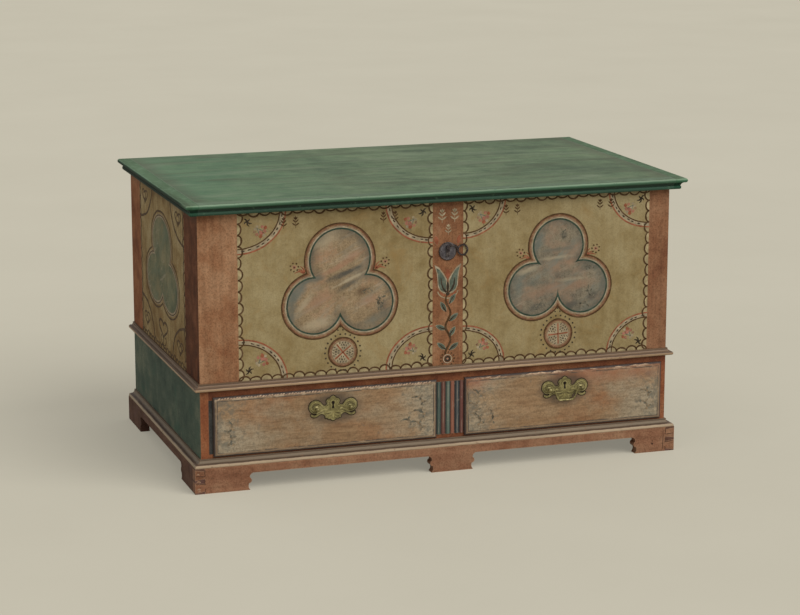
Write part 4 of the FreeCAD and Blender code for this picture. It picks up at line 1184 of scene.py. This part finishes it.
# ---- what is left of the drawers' painted scrolls, and the worn top edges
# a scroll is (u, w, angle, size); a worn place is (start, end, width)
SCROLLS = {"left": ((-0.052, 0.108, 60, 0.036), (-0.046, 0.14, 70, 0.034),
                    (-0.05, 0.172, 60, 0.032), (-0.078, 0.124, 75, 0.028),
                    (-0.535, 0.112, 20, 0.038), (-0.53, 0.146, 30, 0.03)),
           "right": ((0.098, 0.108, 40, 0.038), (0.092, 0.142, 55, 0.034),
                     (0.096, 0.176, 45, 0.028), (0.126, 0.112, 10, 0.034),
                     (0.548, 0.112, 60, 0.034), (0.552, 0.146, 70, 0.03))}
WORN_TOP = ((0.022, 0.07, 0.003), (0.082, 0.094, 0.0024), (0.16, 0.226, 0.004),
            (0.228, 0.262, 0.0052), (0.268, 0.286, 0.0026), (0.33, 0.352, 0.0024),
            (0.398, 0.42, 0.003), (0.436, 0.492, 0.0028))
for side, spots in SCROLLS.items():
    low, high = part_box(f"drawer_{side}_front")
    body = f"drawer_{side}"
    ink = brush_stroke(f"{body}_residue", (82, 82, 74), (142, 119, 92), 0.5, 5.0)
    coat = Coat(f"{body}_scrolls", face(0, low[1], 0), ink, "drawer_paint", body, 0.1 * MM)
    for n, (u, w, angle, size) in enumerate(spots):
        def along(t):
            return polar(u, w, size * t, radians(angle) + 1.5 * t)

        coat.stroke([along(t) for t in (0.0, 0.15, 0.3, 0.45, 0.6, 0.75, 0.9, 1.0)], 0.004,
                    seed=n, taper=(1.0, 0.3))
        for k in range(4):
            t = 0.15 + 0.18 * k
            coat.fill(leaf(*along(t), size * 0.34, size * 0.17,
                           angle + 86 * t + (55 if k % 2 else -55)))
        coat.dot(u, w, size * 0.09, n)
    coat.done()
    pale = brush_stroke(f"{body}_beads", (172, 148, 126), (120, 80, 60), 0.35, 4.0)
    bead = Coat(f"{body}_beads", face(0, low[1] + 1.5 * MM, 0), pale, "drawer_paint", body,
                0.16 * MM)
    if side == "left":
        here, n = low[0] + 0.012, 0
        while here < high[0] - 0.016:
            drop = high[2] - 0.006 - 0.0008 * sin(n * 1.7)
            bead.stroke([(here, drop), (here + 0.0028, drop + 0.0018),
                         (here + 0.0054, drop + 0.003)], 0.0034, seed=n * 0.7,
                        taper=(0.6, 0.5))
            here += 0.0072 + 0.0012 * sin(n * 2.9)
            n += 1
    else:
        for start, end, width in WORN_TOP:
            steps = max(3, int((end - start) / 0.006))
            bead.stroke([(low[0] + start + (end - start) * k / steps,
                          high[2] - 0.004 - 0.0008 * sin(k * 1.3 + start * 90))
                         for k in range(steps + 1)], width, seed=start * 40,
                        taper=(0.3, 0.3), amount=0.0012)
    bead.done()

# ==== brass relief, post collars and iron rims
# dark brown for the painted shadow round each brass plate and for the plate's engraved lines
shadow_and_graving = brush_stroke("plate_edge", (54, 46, 34), (84, 70, 50), 0.1, 6.0)
keyhole_dark = brush_stroke("keyhole_shadow", (26, 20, 16), (40, 30, 24), 0.0, 2.0)
# half of a plate's scrolled edge, and the lines on half a plate with their widths, in mm
PLATE_HALF = ((0, 30.2), (3, 28.6), (6.2, 26.4), (7.6, 22.8), (12, 23.4), (15.6, 20),
              (17, 15.4), (14.6, 12.6), (15.6, 8.6), (19.4, 6), (24.4, 6.8), (28, 11),
              (32, 16.2), (38.6, 20), (46.6, 20.8), (54, 17.6), (59, 11.4), (60.6, 3.4),
              (58.4, -3.8), (53.4, -8.8), (47, -11), (41.6, -11), (39.8, -12.6), (43, -15.6),
              (48.6, -16.2), (53.4, -12.8), (56, -13.6), (54.6, -17.6), (49.4, -20.4),
              (42.2, -20), (36.4, -16.2), (31.2, -12.6), (25.6, -13.6), (20.8, -17.2),
              (19, -20.8), (19.4, -24.6), (14.4, -24.2), (11.6, -27.4), (7, -26.6),
              (3.6, -29.4), (0, -30.8))
RAISED = ((((26, 3), (31, 9), (37, 14.5), (46, 16.5), (53, 13), (56, 6), (53.5, -1),
            (48, -5.5)), 1.4),
          (((20, -1), (27, -3.5), (34, -6.5), (41, -8.5)), 1.3),
          (((9, 18), (13, 14), (11, 9), (13, 5), (18, 2.5)), 1.2),
          (((5, -8), (12, -10), (19, -9.5), (26, -7.5)), 1.3),
          (((4, -14), (9, -17), (14, -17), (16.5, -20)), 1.2),
          (((3, -20), (6, -23), (10, -23.5)), 1.0))
GRAVED = ((((24, 0), (29, 6), (35.5, 11), (45, 13), (50.5, 10)), 1.3),
          (((22, -6), (30, -9.5), (37, -12.5), (43, -13)), 1.4),
          (((15, 17), (12, 12), (13, 7.5), (17.5, 5)), 1.3),
          (((6, -11), (12, -13.5), (18, -13)), 1.2))


def plate_outline():
    """The brass plate's scrolled edge, in metres about its post line, its points cut twice."""
    full = list(PLATE_HALF) + [(-u, w) for u, w in PLATE_HALF[-2:0:-1]]
    for _ in range(2):
        full = [(u0 * (1 - t) + u1 * t, w0 * (1 - t) + w1 * t)
                for (u0, w0), (u1, w1) in zip(full, full[1:] + full[:1]) for t in (0.22, 0.78)]
    return mirrored(full, 1)


def lathe(name, centre, profile, material, slot, body):
    """A turned piece about a line along -Y; profile is (radius, reach), both in mm."""
    steps = 36
    mesh = bmesh.new()
    rings = []
    for radius, reach in profile:
        points = [polar(centre[0], centre[2], radius * MM, tau * k / steps)
                  for k in range(steps)]
        rings.append([mesh.verts.new((x, centre[1] - reach * MM, z)) for x, z in points])
    tube(mesh, rings, True)
    piece = new_piece(name, mesh, material, slot, body)
    for surface in piece.data.polygons:
        surface.use_smooth = True


for side in ("left", "right"):
    low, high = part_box(f"drawer_{side}_plate")
    post_low, post_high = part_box(f"drawer_{side}_posts")
    cx, cz = (low[0] + high[0]) / 2, (post_low[2] + post_high[2]) / 2
    on_plate, on_drawer = face(cx, low[1], cz), face(cx, high[1], cz)
    body = f"drawer_{side}"

    def plate_coat(name, place, material, rise, slot="brass", sink=0.2 * MM):
        return Coat(f"plate_{side}_{name}", place, material, slot, body, rise * MM, sink)

    edge = plate_outline()
    # a dark band round the plate on the drawer: the plate's painted shadow
    plate_coat("rim", on_drawer, shadow_and_graving, 0.4, "drawer_paint", SINK).stroke(
        edge, 0.005, True, 3.0).done()
    sheet = plate_coat("sheet", on_drawer, brass, 1.45, sink=0.1 * MM).fill(edge).done()
    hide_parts(f"drawer_{side}_plate")
    bevel(sheet, 0.45 * MM, 2)
    relief = plate_coat("relief", on_plate, brass_rubbed, 0.5)
    loop = curve(0.0, 0.0128, 0.0062, 0.0062, -60, 240, 25)
    relief.stroke([(0.0048, -0.0012)] + loop + [(-0.0048, -0.0012)], 0.0013)
    graved = plate_coat("lines", on_plate, shadow_and_graving, 0.12)
    for way in (-1, 1):
        for path, width in RAISED:
            relief.stroke(mirrored(path, way), width * MM, taper=(0.5, 0.4))
        relief.fill(leaf(way * 0.016, -0.003, 0.0085, 0.0034, 90 - way * 74))
        for path, width in GRAVED:
            graved.stroke(mirrored(path, way), width * MM, taper=(0.5, 0.4))
        graved.stroke(ring(way * 0.0445, 0.0, 0.0094, 0.009, 20), 0.0012, True)
    relief.fill(leaf(0.0, -0.025, 0.013, 0.0052, 90))
    bevel(relief.done(), 0.25 * MM, 2)
    graved.done()
    plate_coat("keyhole", on_plate, keyhole_dark, 0.16).fill(
        curve(0.0, 0.0134, 0.0037, 0.0037, -60, 240, 14)
        + mirrored(((-1.6, 6.6), (-2.9, -0.6), (2.9, -0.6), (1.6, 6.6)), 1)).done()
    for letter, place_x in (("a", post_low[0] + 0.0055), ("b", post_high[0] - 0.0055)):
        lathe(f"post_collar_{side}_{letter}", (place_x, low[1], cz),
              ((3.3, 0), (7.0, -0.1), (7.4, 0.5), (6.6, 1.0), (5.8, 0.8), (5.0, 1.4),
               (4.2, 2.0), (3.3, 2.1)), brass, "brass", body)

lathe("escutcheon_rim", (LOCK_X, disc_low[1], LOCK_Z),
      ((18.8, 0), (22.2, -0.4), (22.5, 0.2), (21.6, 0.2), (20.4, 0.24), (19.4, 0.18)),
      iron_dark, "iron", "case")

# ==== floor, light and camera
FLOOR_REACH = 40.0
floor_mesh = bpy.data.meshes.new("paper_floor")
floor_mesh.from_pydata([(x * FLOOR_REACH, y * FLOOR_REACH, 0) for x, y in (
    (-1, -1), (1, -1), (1, 1), (-1, 1))], [], [(0, 1, 2, 3)])
floor = bpy.data.objects.new("paper_floor", floor_mesh)
bpy.context.scene.collection.objects.link(floor)
paper = Tree("paper", 0.95, 0.0)
paper.tint = paper.ramp(paper.noise(1.2, 5, 0.6), [(0.3, (190, 185, 169)),
                                                   (0.7, (193, 188, 172))])
floor_mesh.materials.append(paper.finish())
# Drawing paper takes only a thin wash of shadow: part of what is seen of it is its own colour.
OWN_COLOUR = 0.42
ray = paper.node("LightPath").outputs
seen = paper.math("MAXIMUM", ray["Is Camera Ray"], paper.math(
    "MAXIMUM", ray["Is Glossy Ray"], ray["Is Transmission Ray"]))
glow = paper.node("Emission", {"Color": paper.tint}).outputs["Emission"]
paper.put(paper.surface, paper.add("MixShader", {
    0: seen * OWN_COLOUR, 1: paper.shader.outputs["BSDF"], 2: glow}, "Shader"))

world = bpy.data.worlds.new("studio")
bpy.context.scene.world = world
world.use_nodes = True
sky = world.node_tree.nodes["Background"]
sky.inputs["Color"].default_value = (1.0, 0.985, 0.955, 1.0)
sky.inputs["Strength"].default_value = 0.58


def aim(name, data, azimuth, elevation, distance, target=Vector()):
    """A lamp or camera that looks at its target; azimuth 0 is in front of the chest."""
    thing = bpy.data.objects.new(name, data)
    a, e = radians(azimuth), radians(elevation)
    away = Vector((sin(a) * cos(e), -cos(a) * cos(e), sin(e)))
    thing.location = target + away * distance
    thing.rotation_euler = away.to_track_quat("Z", "Y").to_euler()
    bpy.context.scene.collection.objects.link(thing)
    return thing


lamp = bpy.data.lights.new("key_lamp", "SUN")
lamp.energy = 2.5
lamp.angle = radians(50)
lamp.color = (1.0, 0.985, 0.95)
aim("key_lamp", lamp, 34, 42, 5)

lens = bpy.data.cameras.new("camera")
lens.sensor_width = 36
lens.lens = FOCAL_PIXELS * lens.sensor_width / IMAGE_WIDTH
lens.clip_end = 200
bpy.context.scene.camera = aim("camera", lens, CAMERA_AZIMUTH, CAMERA_ELEVATION,
                               CAMERA_DISTANCE, CAMERA_TARGET)
bpy.context.scene.view_settings.view_transform = "Standard"
